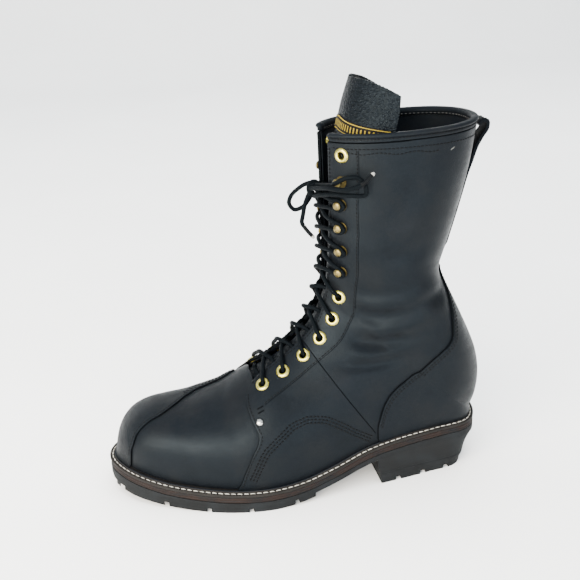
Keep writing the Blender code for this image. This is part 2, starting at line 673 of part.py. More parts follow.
def build_heel():
    """Logger heel: a block drawn in at the back, with lugs on its lift."""
    outline = Outline(WELT_OUT - 0.4)
    back = outline.back[0]
    rings = []
    for height, drawn, width in HEEL_RINGS:
        breast = HEEL_BREAST[1] + (HEEL_BREAST[0] - HEEL_BREAST[1]) * height
        base = back + HEEL_STATIONS * (HEEL_BREAST[0] - back)
        forward = back + drawn + HEEL_STATIONS * (breast - back - drawn)
        sides = []
        for side in (OUTER, INNER):
            across = outline.across(base, side) * width
            across[0] = outline.back[1]
            up = (underside(forward) - SEAT) * height
            up = up if height > 0.15 else np.full_like(up, LUG_DEEP)
            sides.append(np.column_stack([forward, across, up]))
        breast_line = [sides[0][-1] * (1 - w) + sides[1][-1] * w for w in HEEL_ACROSS[1:-1]]
        rings.append(np.vstack([sides[0], breast_line, sides[1][:0:-1]]))
    points, faces = loft(rings[::-1])
    count, half = len(rings[0]), len(HEEL_STATIONS)
    low = rings[-1]
    outer, inner = low[:half], np.vstack([low[:1], low[:-half:-1]])
    share = np.array(HEEL_ACROSS)[None, :, None]
    grid = outer[:, None] * (1 - share) + inner[:, None] * share
    start = (len(rings) - 1) * count
    top = [[start + i, start + i + 1, start + count - i - 1, start + (count - i) % count]
           for i in range(half - 2)]
    top = [[v for k, v in enumerate(f) if v != f[k - 1]] for f in top]
    top.append([start + k for k in range(half - 2, count - half + 3)])
    lug = lambda i, j: i < 3 or (i in (3, 5, 7, 9) and j % 2 == 0)
    mesh = add_lugs(points, faces + top, grid, lug, worn_heel)
    add("heel", mesh, "rubber")


def turned(profile, sides):
    """A turned solid about +Z from a profile of (radius, height) that is closed or ends on the axis."""
    work = bmesh.new()
    closed = profile[0] == profile[-1]
    ring_points = []
    for radius, height in profile[:-1] if closed else profile:
        if radius == 0:
            ring_points.append([work.verts.new((0, 0, height * MM))])
            continue
        angles = np.linspace(0, 2 * math.pi, sides, endpoint=False)
        ring_points.append([work.verts.new((radius * MM * math.cos(t), radius * MM * math.sin(t),
                                            height * MM)) for t in angles])
    pairs = list(zip(ring_points, ring_points[1:]))
    if closed:
        pairs.append((ring_points[-1], ring_points[0]))
    for low, high in pairs:
        for k in range(sides):
            n = (k + 1) % sides
            face = [low[k % len(low)], low[n % len(low)], high[n % len(high)], high[k % len(high)]]
            face = [v for m, v in enumerate(face) if v is not face[m - 1]]
            if len(face) > 2:
                work.faces.new(face)
    bmesh.ops.recalc_face_normals(work, faces=work.faces)
    mesh = bpy.data.meshes.new("turned")
    work.to_mesh(mesh)
    work.free()
    return mesh


EYELET_PROFILE = (
    # radius, height over the leather's outside
    (2.7, -4.0), (2.7, 1.5), (5.8, 0.7), (3.25, 0.7), (3.25, -4.0), (2.7, -4.0),
)
HOOK_PROFILE = ((0.0, 0.3), (3.7, 0.3), (1.5, 1.3), (1.5, 4.5), (3.4, 4.8), (0.0, 6.5))
RIVET_PROFILE = ((0.0, 0.35), (2.7, 0.35), (2.1, 1.3), (0.0, 1.7))
RIVET = (10.28, 57.0)       # section, distance from the ridge


def build_fastenings():
    """Eyelets, lace hooks and the rivets at the foot of each facing."""
    counts = {}
    for kind, s, ridge in FASTENINGS:
        counts[kind] = counts.get(kind, 0) + 1
        for side, word in ((OUTER, "outer"), (INNER, "inner")):
            spot, out = on_upper(s, ridge, side, QUARTER_STEP)
            profile = EYELET_PROFILE if kind == "eyelet" else HOOK_PROFILE
            finish = "brass" if kind == "eyelet" else "aged_brass"
            piece = add(f"{kind}_{word}_{counts[kind]}", turned(profile, 8), finish)
            piece.matrix_world = stand(spot, out)
    for side, word in ((OUTER, "outer"), (INNER, "inner")):
        spot, out = on_upper(*RIVET, side, QUARTER_STEP)
        piece = add(f"rivet_{word}", turned(RIVET_PROFILE, 10), "nickel")
        piece.matrix_world = stand(spot, out)


def smooth_line(places, count):
    """Evenly keyed points on a smooth line through places."""
    places = np.asarray(places, float)
    key = np.concatenate([[0.0], np.cumsum(np.linalg.norm(np.diff(places, axis=0), axis=1))])
    return curve(np.column_stack([key, places]))(np.linspace(0.0, key[-1], count))


def cord(name, places, count, diameter, finish="lace", sides_setting=1):
    """A cord as a bevelled curve along a smooth line."""
    line = place(smooth_line(places, count))
    data = bpy.data.curves.new(name, "CURVE")
    data.dimensions = "3D"
    data.bevel_depth = diameter / 2 * MM
    data.bevel_resolution = sides_setting
    data.use_fill_caps = True
    spline = data.splines.new("POLY")
    spline.points.add(len(line) - 1)
    for point, co in zip(spline.points, line):
        point.co = (*co, 1.0)
    if finish not in materials:
        materials[finish] = plain_material(finish, *FINISHES[finish])
    data.materials.append(materials[finish])
    piece = bpy.data.objects.new(name, data)
    bpy.context.collection.objects.link(piece)
    return piece


def strand(low, high, side):
    """Places along one lace strand from a fastening to the next one on the other facing."""
    kind, s, ridge = low
    next_kind, next_s, next_ridge = high
    step = next_s - s
    edge = THROAT_EDGE(s + 0.3 * step)[0]
    if kind == "eyelet":
        start = on_upper(s, ridge - 1.0, side, QUARTER_STEP + 4.0)[0]
    else:
        start = on_upper(s + 0.14 * step, ridge - 6.5, side, QUARTER_STEP + LACE / 2 + 0.6)[0]
    mid_s = s + 0.5 * step
    middle = on_upper(mid_s, 0.6, side, 3.0 if side == OUTER else 4.3)[0]
    rim = on_upper(s + 0.25 * step, edge + 1.0, side, QUARTER_STEP + LACE / 2 + 2.2)[0]
    if next_kind == "eyelet":
        end = on_upper(s + 0.72 * step, THROAT_EDGE(s + 0.72 * step)[0] - 4.2, -side, 0.4)[0]
        return [start, rim, middle, end]
    over = on_upper(s + 0.75 * step, edge + 1.0, -side, QUARTER_STEP + LACE / 2 + 1.2)[0]
    end = on_upper(next_s - 0.14 * step, next_ridge - 6.5, -side, QUARTER_STEP + LACE / 2 + 0.6)[0]
    return [start, rim, middle, over, end]


def build_crossings():
    """The lace's crossings over the tongue, each one joined solid."""
    laced = FASTENINGS[:LACED]
    for number, (low, high) in enumerate(zip(laced, laced[1:]), start=1):
        parts = []
        for side in (OUTER, INNER):
            tube = cord("strand", strand(low, high, side), 5, LACE)
            mesh = bpy.data.meshes.new_from_object(tube)
            data = tube.data
            bpy.data.objects.remove(tube)
            bpy.data.curves.remove(data)
            parts.append(mesh)
        piece = add(f"lace_crossing_{number}", parts[0], "lace")
        other = bpy.data.objects.new(f"strand_{number}", parts[1])
        other.hide_render = True
        other.display_type = "WIRE"
        bpy.context.collection.objects.link(other)
        join = piece.modifiers.new("other strand", "BOOLEAN")
        join.object = other
        join.operation = "UNION"
        join.solver = "EXACT"


def build_collar():
    """Rolled binding on the collar, and the pull loop on the back."""
    path = []
    for side, order in ((OUTER, 1), (INNER, -1)):
        top = UPPER_ROWS[-1]
        share = np.linspace(throat_share(np.array([top]), side)[0], 0.0, UPPER_COLUMNS + 1)[::order]
        at = np.full_like(share, top)
        line = surface(at, share, side) - outward(at, share, side) * 0.5
        path.append(line if order == 1 else line[1:])
    binding = np.vstack(path)
    binding[:, 2] += BINDING / 2 + SEAT
    cord("collar_binding", binding, 27, BINDING, "leather", 1)
    half = LOOP_WIDE / 2
    path = smooth_line(LOOP_PATH, 19)
    along = np.gradient(path, axis=0)
    along /= np.linalg.norm(along, axis=1)[:, None]
    side = np.column_stack([-along[:, 1], along[:, 0]]) * LOOP_THICK / 2
    rings = []
    for place_at, shift in zip(path, side):
        corners = [(place_at + shift, -half), (place_at + shift, half), (place_at - shift, half),
                   (place_at - shift, -half)]
        rings.append(np.array([(p[0], y, p[1]) for p, y in corners]))
    points, faces = loft(rings)
    ends = [[0, 1, 2, 3], [len(points) - 4 + k for k in range(4)]]
    add("pull_loop", mesh_of(points, faces + ends), "leather")


BINDING = 6.4           # thickness of the rolled collar binding
LOOP_WIDE = 15.0
LOOP_THICK = 2.6
LOOP_PATH = (
    # forward, up: from the backstay out and back to the collar
    (4.0, 264.0), (0.9, 273.0), (-4.2, 281.0), (-8.2, 287.5), (-7.6, 292.6), (-4.0, 293.6), (0.3, 290.2),
)

# The bow: places of the knot, loops and ends, forward, across and up.
KNOT = ((129.2, -12.0, 246.8), (131.7, -3.0, 248.6), (131.7, 3.0, 248.6), (129.2, 12.0, 246.8))
KNOT_THICK = 4.2
BOW = {
    "lace_loop_outer": (
        (131.5, -5.0, 252.6), (127.5, -20.0, 256.0), (125.5, -31.0, 258.5), (124.0, -39.0, 262.0),
        (116.0, -45.5, 267.0), (109.2, -48.0, 266.5), (104.5, -50.0, 261.0), (104.0, -50.0, 254.6),
        (115.2, -47.0, 253.6), (125.5, -36.0, 252.6), (134.2, -15.0, 246.8), (134.0, -6.5, 244.2)),
    "lace_loop_inner": (
        (132.0, 5.0, 252.6), (137.0, 8.0, 251.0), (143.5, 11.0, 246.5), (149.0, 13.0, 240.5),
        (150.5, 14.0, 234.5), (146.5, 13.5, 229.0), (140.5, 11.5, 231.0), (135.0, 9.0, 238.0),
        (132.5, 6.5, 244.2)),
    "lace_end_outer": (
        (135.9, -2.0, 249.5), (134.0, -14.0, 252.5), (128.5, -36.5, 257.5), (116.5, -51.0, 259.5),
        (107.5, -54.5, 263.5), (100.5, -54.0, 269.5)),
    "lace_end_inner": (
        (134.9, 2.5, 247.3), (139.5, 1.0, 238.0), (142.4, -1.0, 228.2), (143.6, -2.0, 222.0),
        (141.0, -4.0, 217.3), (136.8, -7.0, 212.0)),
}


def build_bow():
    """Knot, loops and ends of the lace as plain cords; the knot's cord comes from the last laced hooks."""
    _, s, ridge = FASTENINGS[LACED - 1]
    leave = [on_upper(s + 0.2, ridge - 6.5, side, QUARTER_STEP + KNOT_THICK / 2 + 1.2)[0]
             for side in (OUTER, INNER)]
    cord("lace_knot", [leave[0], *KNOT, leave[1]], 12, KNOT_THICK, sides_setting=2)
    for name, places in BOW.items():
        cord(name, places, 14, LACE, sides_setting=2)


def centre_on_floor():
    """Move every piece so that the part's box stands centred over the origin."""
    bpy.context.view_layer.update()
    graph = bpy.context.evaluated_depsgraph_get()
    corners = []
    for piece in bpy.context.scene.objects:
        shown = piece.evaluated_get(graph)
        mesh = shown.to_mesh()
        corners += [shown.matrix_world @ v.co for v in mesh.vertices]
        shown.to_mesh_clear()
    corners = np.array(corners)
    low, high = corners.min(axis=0), corners.max(axis=0)
    shift = Vector((-(low[0] + high[0]) / 2, -(low[1] + high[1]) / 2, 0.0))
    for piece in bpy.context.scene.objects:
        piece.location += shift


def main():
    for piece in list(bpy.data.objects):
        bpy.data.objects.remove(piece)
    build_outsole()
    build_heel()
    build_welted_layers()
    build_upper()
    build_overlays()
    build_tongue()
    build_fastenings()
    build_crossings()
    build_collar()
    build_bow()
    centre_on_floor()


if __name__ == "__main__":
    main()
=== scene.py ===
"""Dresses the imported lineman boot: leather panels, stitching, lacing, brass and a welted sole.

Lengths in the tables are millimetres on the boot's own axes: forward from the back of the welt,
across towards the inner side of the foot, and up from the floor. place() turns them into the frame.
"""

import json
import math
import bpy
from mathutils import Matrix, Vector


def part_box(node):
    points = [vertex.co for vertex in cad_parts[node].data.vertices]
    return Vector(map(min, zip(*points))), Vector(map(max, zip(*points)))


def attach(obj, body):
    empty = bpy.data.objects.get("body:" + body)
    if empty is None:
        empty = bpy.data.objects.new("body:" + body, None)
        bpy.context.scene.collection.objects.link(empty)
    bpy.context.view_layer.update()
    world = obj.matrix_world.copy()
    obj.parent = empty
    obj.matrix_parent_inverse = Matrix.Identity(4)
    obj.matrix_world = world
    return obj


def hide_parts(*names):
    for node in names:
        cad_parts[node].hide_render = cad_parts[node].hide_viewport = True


bl_info = {
    "name": "Lineman boot",
    "version": (1, 0, 0),
    "blender": (4, 5, 0),
    "location": "View3D > Sidebar > Boot",
    "description": "Builds the visible pieces of a laced work boot over its packed frame",
    "category": "Add Mesh",
}

import bmesh
import bpy
import numpy as np
from bpy.props import FloatProperty, FloatVectorProperty, PointerProperty
from mathutils import Matrix, Vector
from mathutils.kdtree import KDTree

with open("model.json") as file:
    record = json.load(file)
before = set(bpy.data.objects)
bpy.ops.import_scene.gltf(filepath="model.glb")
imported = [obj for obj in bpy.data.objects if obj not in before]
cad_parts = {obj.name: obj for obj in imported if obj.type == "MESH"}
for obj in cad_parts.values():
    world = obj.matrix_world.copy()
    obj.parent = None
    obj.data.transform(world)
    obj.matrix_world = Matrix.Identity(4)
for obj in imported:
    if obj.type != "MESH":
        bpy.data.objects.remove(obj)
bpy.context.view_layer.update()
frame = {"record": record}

MM = 0.001
OUTER, INNER = -1, 1
SIDES = (OUTER, INNER)
BODY = "root"

QUARTER_STEP = 1.2      # the quarters lie over the vamp
WALL = 2.4              # of the upper
SEAT = 0.3              # room between the layers of the sole
WELT_OUT = 6.8          # the welt's edge beyond the feather line
WELT_IN = -5.5          # and its edge under the upper
WELT_THICK = 3.3
MIDSOLE_THICK = 4.6
LUG_DEEP = 3.2
HEEL_BREAST = (96.0, 91.5)      # the heel's front face, at its top and at the floor
HEEL_BACK = 19.0        # section whose two ends meet at the back of the heel
COLLAR_ROW = 31.7       # section at the upper's top edge
LAST_SECTION = 34.0

# The feather line, where upper and sole meet, seen from above.
FEATHER = (
    # forward, across
    (5.0, 0.0), (14.0, -28.6), (44.0, -35.8), (112.5, -45.5), (196.0, -55.3), (249.0, -41.0),
    (294.6, -14.5), (308.7, 11.9), (296.5, 38.5), (252.0, 47.0), (217.0, 48.1), (127.0, 27.5),
    (44.0, 34.6), (14.0, 28.0),
)

# Height of the feather line and of the sole's underside above the lugs.
LEVELS = (
    # forward, feather, underside
    (-12.0, 44.6, 30.0), (39.0, 43.5, 30.0), (73.0, 41.6, 29.2), (103.0, 36.7, 23.4),
    (132.0, 26.8, 13.4), (161.0, 19.6, 6.2), (182.0, 17.6, 3.6), (200.0, 17.3, 3.2),
    (235.0, 18.2, 3.4), (269.0, 20.9, 5.4), (297.0, 25.8, 8.8), (318.0, 29.6, 11.6),
)

# Sections of the upper from the toe tip to the collar, each from its foot up to its top on the ridge.
SECTIONS = (
    # foot (forward, up), top (forward, across, up), half widths (outer, inner), widest at, fullness
    (308.7, 27.9, 308.7, 11.9, 27.9, 0.0, 0.0, 0.42, 2.0),
    (307.6, 27.7, 307.6, 11.9, 34.0, 0.0, 0.0, 0.42, 2.0),
    (304.0, 27.1, 304.0, 11.8, 48.0, 0.0, 0.0, 0.42, 2.1),
    (298.0, 26.0, 298.0, 11.6, 58.2, 0.0, 0.0, 0.41, 2.2),
    (289.0, 24.3, 289.0, 11.2, 66.0, 0.0, 0.0, 0.40, 2.3),
    (277.0, 22.2, 277.0, 10.6, 71.0, 0.0, 26.0, 0.38, 2.35),
    (262.0, 20.2, 262.0, 9.6, 73.8, 0.0, 34.5, 0.36, 2.35),
    (244.0, 18.7, 244.0, 8.2, 76.4, 0.0, 41.2, 0.34, 2.3),
    (226.0, 17.8, 226.0, 6.4, 81.0, 0.0, 46.2, 0.32, 2.2),
    (210.0, 17.4, 210.0, 4.8, 87.4, 50.0, 48.8, 0.31, 2.1),
    (195.0, 17.3, 197.0, 3.4, 95.2, 54.0, 48.0, 0.30, 2.0),
    (175.0, 18.0, 185.0, 2.4, 103.6, 56.0, 46.5, 0.30, 1.95),
    (150.0, 21.9, 173.5, 1.6, 110.8, 52.5, 44.5, 0.31, 1.9),
    (122.0, 30.3, 162.0, 1.0, 119.6, 49.0, 42.5, 0.33, 1.9),
    (92.0, 38.9, 152.0, 0.6, 129.6, 45.5, 41.0, 0.35, 1.9),
    (62.0, 42.4, 144.0, 0.3, 140.0, 42.5, 40.0, 0.37, 1.95),
    (36.0, 43.6, 138.5, 0.0, 149.6, 40.5, 39.5, 0.38, 2.0),
    (17.0, 44.0, 135.0, 0.0, 158.0, 39.5, 39.0, 0.38, 2.0),
    (8.0, 44.2, 132.4, 0.0, 165.0, 39.0, 39.0, 0.38, 2.0),
    (5.0, 44.3, 130.8, 0.0, 171.0, 39.0, 39.0, 0.38, 2.05),
    (-1.0, 58.0, 129.7, 0.0, 177.0, 39.0, 39.0, 0.39, 2.05),
    (-3.0, 76.0, 128.9, 0.0, 183.0, 39.5, 39.5, 0.41, 2.1),
    (0.0, 96.0, 128.3, 0.0, 189.0, 40.0, 40.0, 0.43, 2.1),
    (8.0, 118.0, 127.8, 0.0, 195.5, 40.5, 40.5, 0.45, 2.1),
    (19.5, 143.0, 127.5, 0.0, 202.5, 41.0, 41.0, 0.46, 2.1),
    (30.0, 165.0, 127.3, 0.0, 210.0, 41.5, 41.5, 0.47, 2.1),
    (33.0, 178.0, 127.2, 0.0, 219.0, 42.0, 42.0, 0.48, 2.15),
    (28.5, 194.0, 127.0, 0.0, 229.0, 42.5, 42.5, 0.49, 2.15),
    (22.0, 214.0, 127.0, 0.0, 240.0, 43.0, 43.0, 0.50, 2.2),
    (15.5, 237.0, 127.0, 0.0, 253.0, 43.8, 43.8, 0.50, 2.2),
    (9.5, 262.0, 127.2, 0.0, 268.0, 44.5, 44.5, 0.50, 2.2),
    (6.0, 282.0, 127.5, 0.0, 282.0, 45.0, 45.0, 0.50, 2.2),
    (4.0, 298.0, 128.0, 0.0, 293.0, 45.5, 45.5, 0.50, 2.2),
    (2.5, 313.0, 127.0, 0.0, 313.0, 45.5, 45.5, 0.50, 2.2),
    (1.0, 335.0, 124.0, 0.0, 336.0, 45.5, 45.5, 0.50, 2.2),
)


def curve(table):
    """A smooth curve through a table's rows, whose first column is the key."""
    table = np.asarray(table, float)
    key, value = table[:, 0], table[:, 1:]
    slope = np.gradient(value, key, axis=0)

    def at(where):
        where = np.clip(np.asarray(where, float), key[0], key[-1])
        i = np.clip(np.searchsorted(key, where, side="right") - 1, 0, len(key) - 2)
        span = (key[i + 1] - key[i])[..., None]
        t = (where - key[i])[..., None] / span
        start, end = value[i], value[i + 1]
        return (start * (1 + 2 * t) * (1 - t) ** 2 + end * (3 - 2 * t) * t ** 2
                + span * (slope[i] * t * (1 - t) ** 2 - slope[i + 1] * t ** 2 * (1 - t)))

    return at


def lookup(*rows):
    """A smooth one-valued curve through rows of (key, value)."""
    at = curve(rows)
    return lambda where: at(where)[..., 0]


levels = curve(LEVELS)
sections = curve([(i, *row) for i, row in enumerate(SECTIONS)])


def feather_height(forward):
    return levels(forward)[..., 0]


def underside(forward):
    return levels(forward)[..., 1]


class Outline:
    """The feather line, grown outwards by a distance, with its two sides told apart."""

    def __init__(self, grow=0.0, points=1600):
        places = np.array(FEATHER, float)
        around = np.vstack([places[-3:], places, places[:4]])
        steps = np.linalg.norm(np.diff(around, axis=0), axis=1) ** 0.5
        key = np.concatenate([[0.0], np.cumsum(steps)])
        line = curve(np.column_stack([key, around]))(
            np.linspace(key[3], key[3 + len(places)], points, endpoint=False))
        along = np.roll(line, -1, axis=0) - np.roll(line, 1, axis=0)
        along /= np.linalg.norm(along, axis=1)[:, None]
        line = line + grow * np.column_stack([along[:, 1], -along[:, 0]])
        line = np.roll(line, -int(line[:, 0].argmin()), axis=0)
        tip = int(line[:, 0].argmax())
        self.line, self.back, self.tip = line, line[0], line[tip]
        self.sides = {OUTER: line[:tip + 1], INNER: np.vstack([line[tip:], line[:1]])[::-1]}

    def across(self, forward, side):
        """Distance across at a place along the foot, on one side."""
        line = self.sides[side]
        return np.interp(forward, np.maximum.accumulate(line[:, 0]), line[:, 1])


feather = Outline()
# Where the boot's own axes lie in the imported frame: the welt's tip and the pull loop's middle tell.
ORIGIN = (
    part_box("welt")[0].x / MM + Outline(WELT_OUT).tip[0],
    (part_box("pull_loop")[0].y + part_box("pull_loop")[1].y) / 2 / MM,
)


def place(points):
    """Boot axes in millimetres to the frame in metres."""
    points = np.asarray(points, float)
    return np.stack([ORIGIN[0] - points[..., 0], points[..., 1] + ORIGIN[1], points[..., 2]], axis=-1) * MM


def unit(vectors):
    return vectors / np.maximum(np.linalg.norm(vectors, axis=-1, keepdims=True), 1e-9)


def tree_of(points):
    """A tree that finds the nearest of some points."""
    tree = KDTree(len(points))
    for k, point in enumerate(points):
        tree.insert(point, k)
    tree.balance()
    return tree


def run_along(line):
    """Distance along a line at each of its points."""
    return np.concatenate([[0.0], np.cumsum(np.linalg.norm(np.diff(line, axis=0), axis=1))])


def sample(want, run, line):
    """A line's values at wanted distances along it."""
    return np.column_stack([np.interp(want, run, column) for column in np.asarray(line).T])


def smooth_line(places, count):
    """Evenly keyed points on a smooth line through places."""
    places = np.asarray(places, float)
    key = run_along(places)
    return curve(np.column_stack([key, places]))(np.linspace(0.0, key[-1], count))


def even_line(places, spacing):
    """Points at an even spacing on a smooth line through places."""
    dense = smooth_line(places, 60 * len(places))
    run = run_along(dense)
    return sample(np.linspace(0.0, run[-1], max(2, int(round(run[-1] / spacing)) + 1)), run, dense)


ARC_POINTS = 72


def half_sections(s, side):
    """Dense half sections from foot to ridge: an array of (section, point, 3)."""
    foot_u, foot_z, top_u, top_y, top_z, outer, inner, ride, full = sections(s).T
    wide = outer if side == OUTER else inner
    open_foot = s < HEEL_BACK
    foot_y = np.where(open_foot, feather.across(foot_u, side), top_y)
    foot_z = np.where(open_foot, feather_height(foot_u), foot_z)
    start = np.abs(foot_y - top_y)
    tuck = 1.6 * np.clip((top_z - foot_z) / 30.0, 0.0, 1.0)
    wide = np.maximum(wide, start + tuck)
    # The lower arc swells from the foot to the widest place; the upper arc closes over the top.
    angle = np.linspace(0.0, math.pi / 2, ARC_POINTS // 2)[None, :]
    straight = np.clip(start / np.maximum(wide, 1e-6), 0.0, 1.0)[:, None]
    low_q = 1.0 - np.cos(angle)
    power = 0.46 + 0.54 * straight ** 2
    low_y = start[:, None] + (wide - start)[:, None] * (1.0 - (1.0 - low_q) ** 2.4) ** power
    full = full[:, None]
    high_q = np.sin(angle[:, 1:]) ** (2.0 / full)
    high_y = wide[:, None] * np.abs(np.cos(angle[:, 1:])) ** (2.0 / full)
    high_y[:, -1] = 0.0
    ride = ride[:, None]
    q = np.concatenate([low_q * ride, ride + (1.0 - ride) * high_q], axis=1)
    y = np.concatenate([low_y, high_y], axis=1)
    forward = foot_u[:, None] + q * (top_u - foot_u)[:, None]
    up = foot_z[:, None] + q * (top_z - foot_z)[:, None]
    return np.stack([forward, top_y[:, None] + side * y, up], axis=-1)


# Soft folds worn into the leather: depth (a ridge is negative), half width, then places seen from the side.
CREASES = (
    # ankle, where the shaft bends over the instep: forward, up
    (1.1, 7.0, ((111.5, 170.3), (93.6, 169.3), (76.3, 170.9), (58.0, 174.5))),
    (-1.2, 7.0, ((111.0, 161.0), (93.0, 159.5), (74.0, 161.0), (56.0, 165.5))),
    (1.7, 7.0, ((110.3, 151.4), (93.1, 148.6), (74.1, 150.3), (53.8, 155.3))),
    (-1.9, 7.5, ((113.0, 140.5), (94.5, 137.0), (74.0, 138.5), (51.0, 144.5))),
    (1.8, 7.0, ((114.8, 130.4), (95.9, 126.2), (73.5, 126.8), (49.1, 133.7))),
    (-1.5, 6.5, ((118.2, 119.7), (102.4, 116.0), (81.6, 116.7), (60.0, 123.0))),
    (1.6, 6.0, ((127.3, 109.4), (107.1, 107.9), (86.2, 108.8), (65.3, 115.4))),
    # hollow over the heel tendon, and the shaft above it
    (1.8, 7.0, ((34.0, 163.0), (49.2, 159.4), (62.3, 157.4))),
    (1.5, 8.0, ((90.9, 198.4), (75.3, 200.5), (54.2, 203.9))),
    (1.6, 15.0, ((84.0, 222.0), (74.0, 240.0), (70.0, 262.0))),
)
FOLDS = (
    # vamp, where the foot flexes: section, share across
    (0.6, 7.0, ((8.9, -0.62), (8.6, -0.42), (8.5, -0.20), (8.6, 0.0), (8.5, 0.22), (8.7, 0.5))),
    (-0.5, 7.0, ((7.7, -0.60), (7.5, -0.38), (7.4, -0.15), (7.4, 0.1), (7.5, 0.34))),
    (0.35, 6.0, ((6.6, -0.58), (6.5, -0.36), (6.4, -0.12))),
)
INNER_CREASES = 0.8     # the inner side is less worn


class Form:
    """The upper's surface on a fine grid: sections by c, from -1 at the outer foot to 1 at the inner."""

    STEP = 0.05
    COLUMNS = 321

    def __init__(self):
        self.s = np.arange(0.0, LAST_SECTION + self.STEP / 2, self.STEP)
        self.c = np.linspace(-1.0, 1.0, self.COLUMNS)
        points = np.zeros((len(self.s), self.COLUMNS, 3))
        self.length = {}
        for side in SIDES:
            arcs = half_sections(self.s, side)
            run = np.cumsum(np.linalg.norm(np.diff(arcs, axis=1), axis=2), axis=1)
            run = np.concatenate([np.zeros((len(arcs), 1)), run], axis=1)
            self.length[side] = np.maximum(run[:, -1], 0.5)
            columns = np.flatnonzero(self.c * side >= 0)
            share = 1.0 - np.abs(self.c[columns])
            for i in range(len(arcs)):
                for k in range(3):
                    points[i, columns, k] = np.interp(share * run[i, -1], run[i], arcs[i, :, k])
        self.points = points
        along = np.gradient(points, axis=0)
        over = np.gradient(points, axis=1)
        normals = unit(np.cross(over, along))
        normals[self.s < 0.12] = (1.0, 0.0, 0.0)
        back = self.s >= HEEL_BACK
        middle = unit((normals[back, 0] + normals[back, -1]) * (1.0, 0.0, 1.0))
        normals[back, 0] = middle
        normals[back, -1] = middle
        self.normals = normals
        self.relief = np.zeros(points.shape[:2])
        self.tree = None

    def _pick(self, grid, s, c):
        i = np.clip(np.asarray(s, float) / self.STEP, 0, len(self.s) - 1)
        j = np.clip((np.asarray(c, float) + 1.0) / 2.0 * (self.COLUMNS - 1), 0, self.COLUMNS - 1)
        i0, j0 = np.minimum(i.astype(int), len(self.s) - 2), np.minimum(j.astype(int), self.COLUMNS - 2)
        ti, tj = i - i0, j - j0
        if grid.ndim == 3:
            ti, tj = ti[..., None], tj[..., None]
        low = grid[i0, j0] * (1 - tj) + grid[i0, j0 + 1] * tj
        high = grid[i0 + 1, j0] * (1 - tj) + grid[i0 + 1, j0 + 1] * tj
        return low * (1 - ti) + high * ti

    def at(self, s, c):
        """Points on the creased surface and the outward directions there."""
        s, c = np.broadcast_arrays(np.asarray(s, float), np.asarray(c, float))
        normals = unit(self._pick(self.normals, s, c))
        points = self._pick(self.points, s, c) + normals * self._pick(self.relief, s, c)[..., None]
        return points, normals

    def half(self, s, side):
        return np.interp(s, self.s, self.length[side])

    def near(self, s, ridge, side, lift=0.0, up=0.0):
        """A point at a distance from the ridge and up the facing, lifted off the surface."""
        c = side * ridge / self.half(s, side)
        if up:
            low, high = self.at(s - 0.1, c)[0], self.at(s + 0.1, c)[0]
            s = s + up * 0.2 / np.linalg.norm(high - low)
            c = side * ridge / self.half(s, side)
        point, normal = self.at(s, c)
        return point + normal * lift

    def settle(self, points, lift):
        """Bring points onto the creased surface, lifted off it; with the outward directions there."""
        if self.tree is None:
            self.flat = (self.points + self.normals * self.relief[..., None])[::2, ::2].reshape(-1, 3)
            self.flat_normals = self.normals[::2, ::2].reshape(-1, 3)
            self.tree = tree_of(self.flat)
        hits = np.array([self.tree.find(p)[1] for p in points])
        normals = self.flat_normals[hits]
        off = ((points - self.flat[hits]) * normals).sum(axis=1)
        return points + normals * (lift - off)[:, None], normals

    def beside(self, forward, up, side):
        """The point of one side that is seen at a place from that side."""
        middle = self.COLUMNS // 2
        half = self.points[:, :middle] if side == OUTER else self.points[:, middle:]
        gap = (half[..., 0] - forward) ** 2 + (half[..., 2] - up) ** 2
        return half.reshape(-1, 3)[gap.argmin()]

    def press(self, depth, half_width, line):
        """Press one trough with low shoulders into the relief along a line."""
        box_low, box_high = line.min(axis=0) - 4 * half_width, line.max(axis=0) + 4 * half_width
        inside = ((self.points > box_low) & (self.points < box_high)).all(axis=2)
        spots = self.points[inside]
        gap = np.full(len(spots), 1e9)
        when = np.zeros(len(spots))
        for k in range(len(line) - 1):
            step = line[k + 1] - line[k]
            t = np.clip(((spots - line[k]) @ step) / (step @ step), 0.0, 1.0)
            distance = np.linalg.norm(spots - line[k] - t[:, None] * step, axis=1)
            closer = distance < gap
            gap[closer] = distance[closer]
            when[closer] = (k + t[closer]) / (len(line) - 1)
        fade = np.sin(np.pi * np.clip(when, 0.02, 0.98)) ** 0.7
        x = gap / half_width
        self.relief[inside] -= depth * fade * (1.0 - 0.7 * x ** 2) * np.exp(-x ** 2)

    def wear(self, share):
        """Press every crease and fold into the surface, each scaled by a share."""
        for depth, half_width, places in FOLDS:
            self.press(share * depth, half_width, smooth_line(self.at(*np.array(places).T)[0], 24))
        for side, worn in ((OUTER, share), (INNER, share * INNER_CREASES)):
            for depth, half_width, places in CREASES:
                line = smooth_line([self.beside(*spot, side) for spot in places], 24)
                self.press(worn * depth, half_width, line)
        # Both sides are as deep where they meet at the back.
        meet = np.exp(-((1.0 - np.abs(self.c)) / 0.06) ** 2)
        level = self.relief[:, [0, -1]].mean(axis=1, keepdims=True)
        ends = np.where(self.c < 0, self.relief[:, :1], self.relief[:, -1:])
        self.relief += (level - ends) * meet * (self.s >= HEEL_BACK)[:, None]
        # The leather isn't quite even anywhere.
        u, y, z = np.moveaxis(self.points, -1, 0)
        uneven = np.sin(u / 17.0 + 1.3 * np.sin(z / 23.0)) * np.sin(z / 19.0 + y / 31.0)
        self.relief += share * 0.24 * uneven


form = Form()

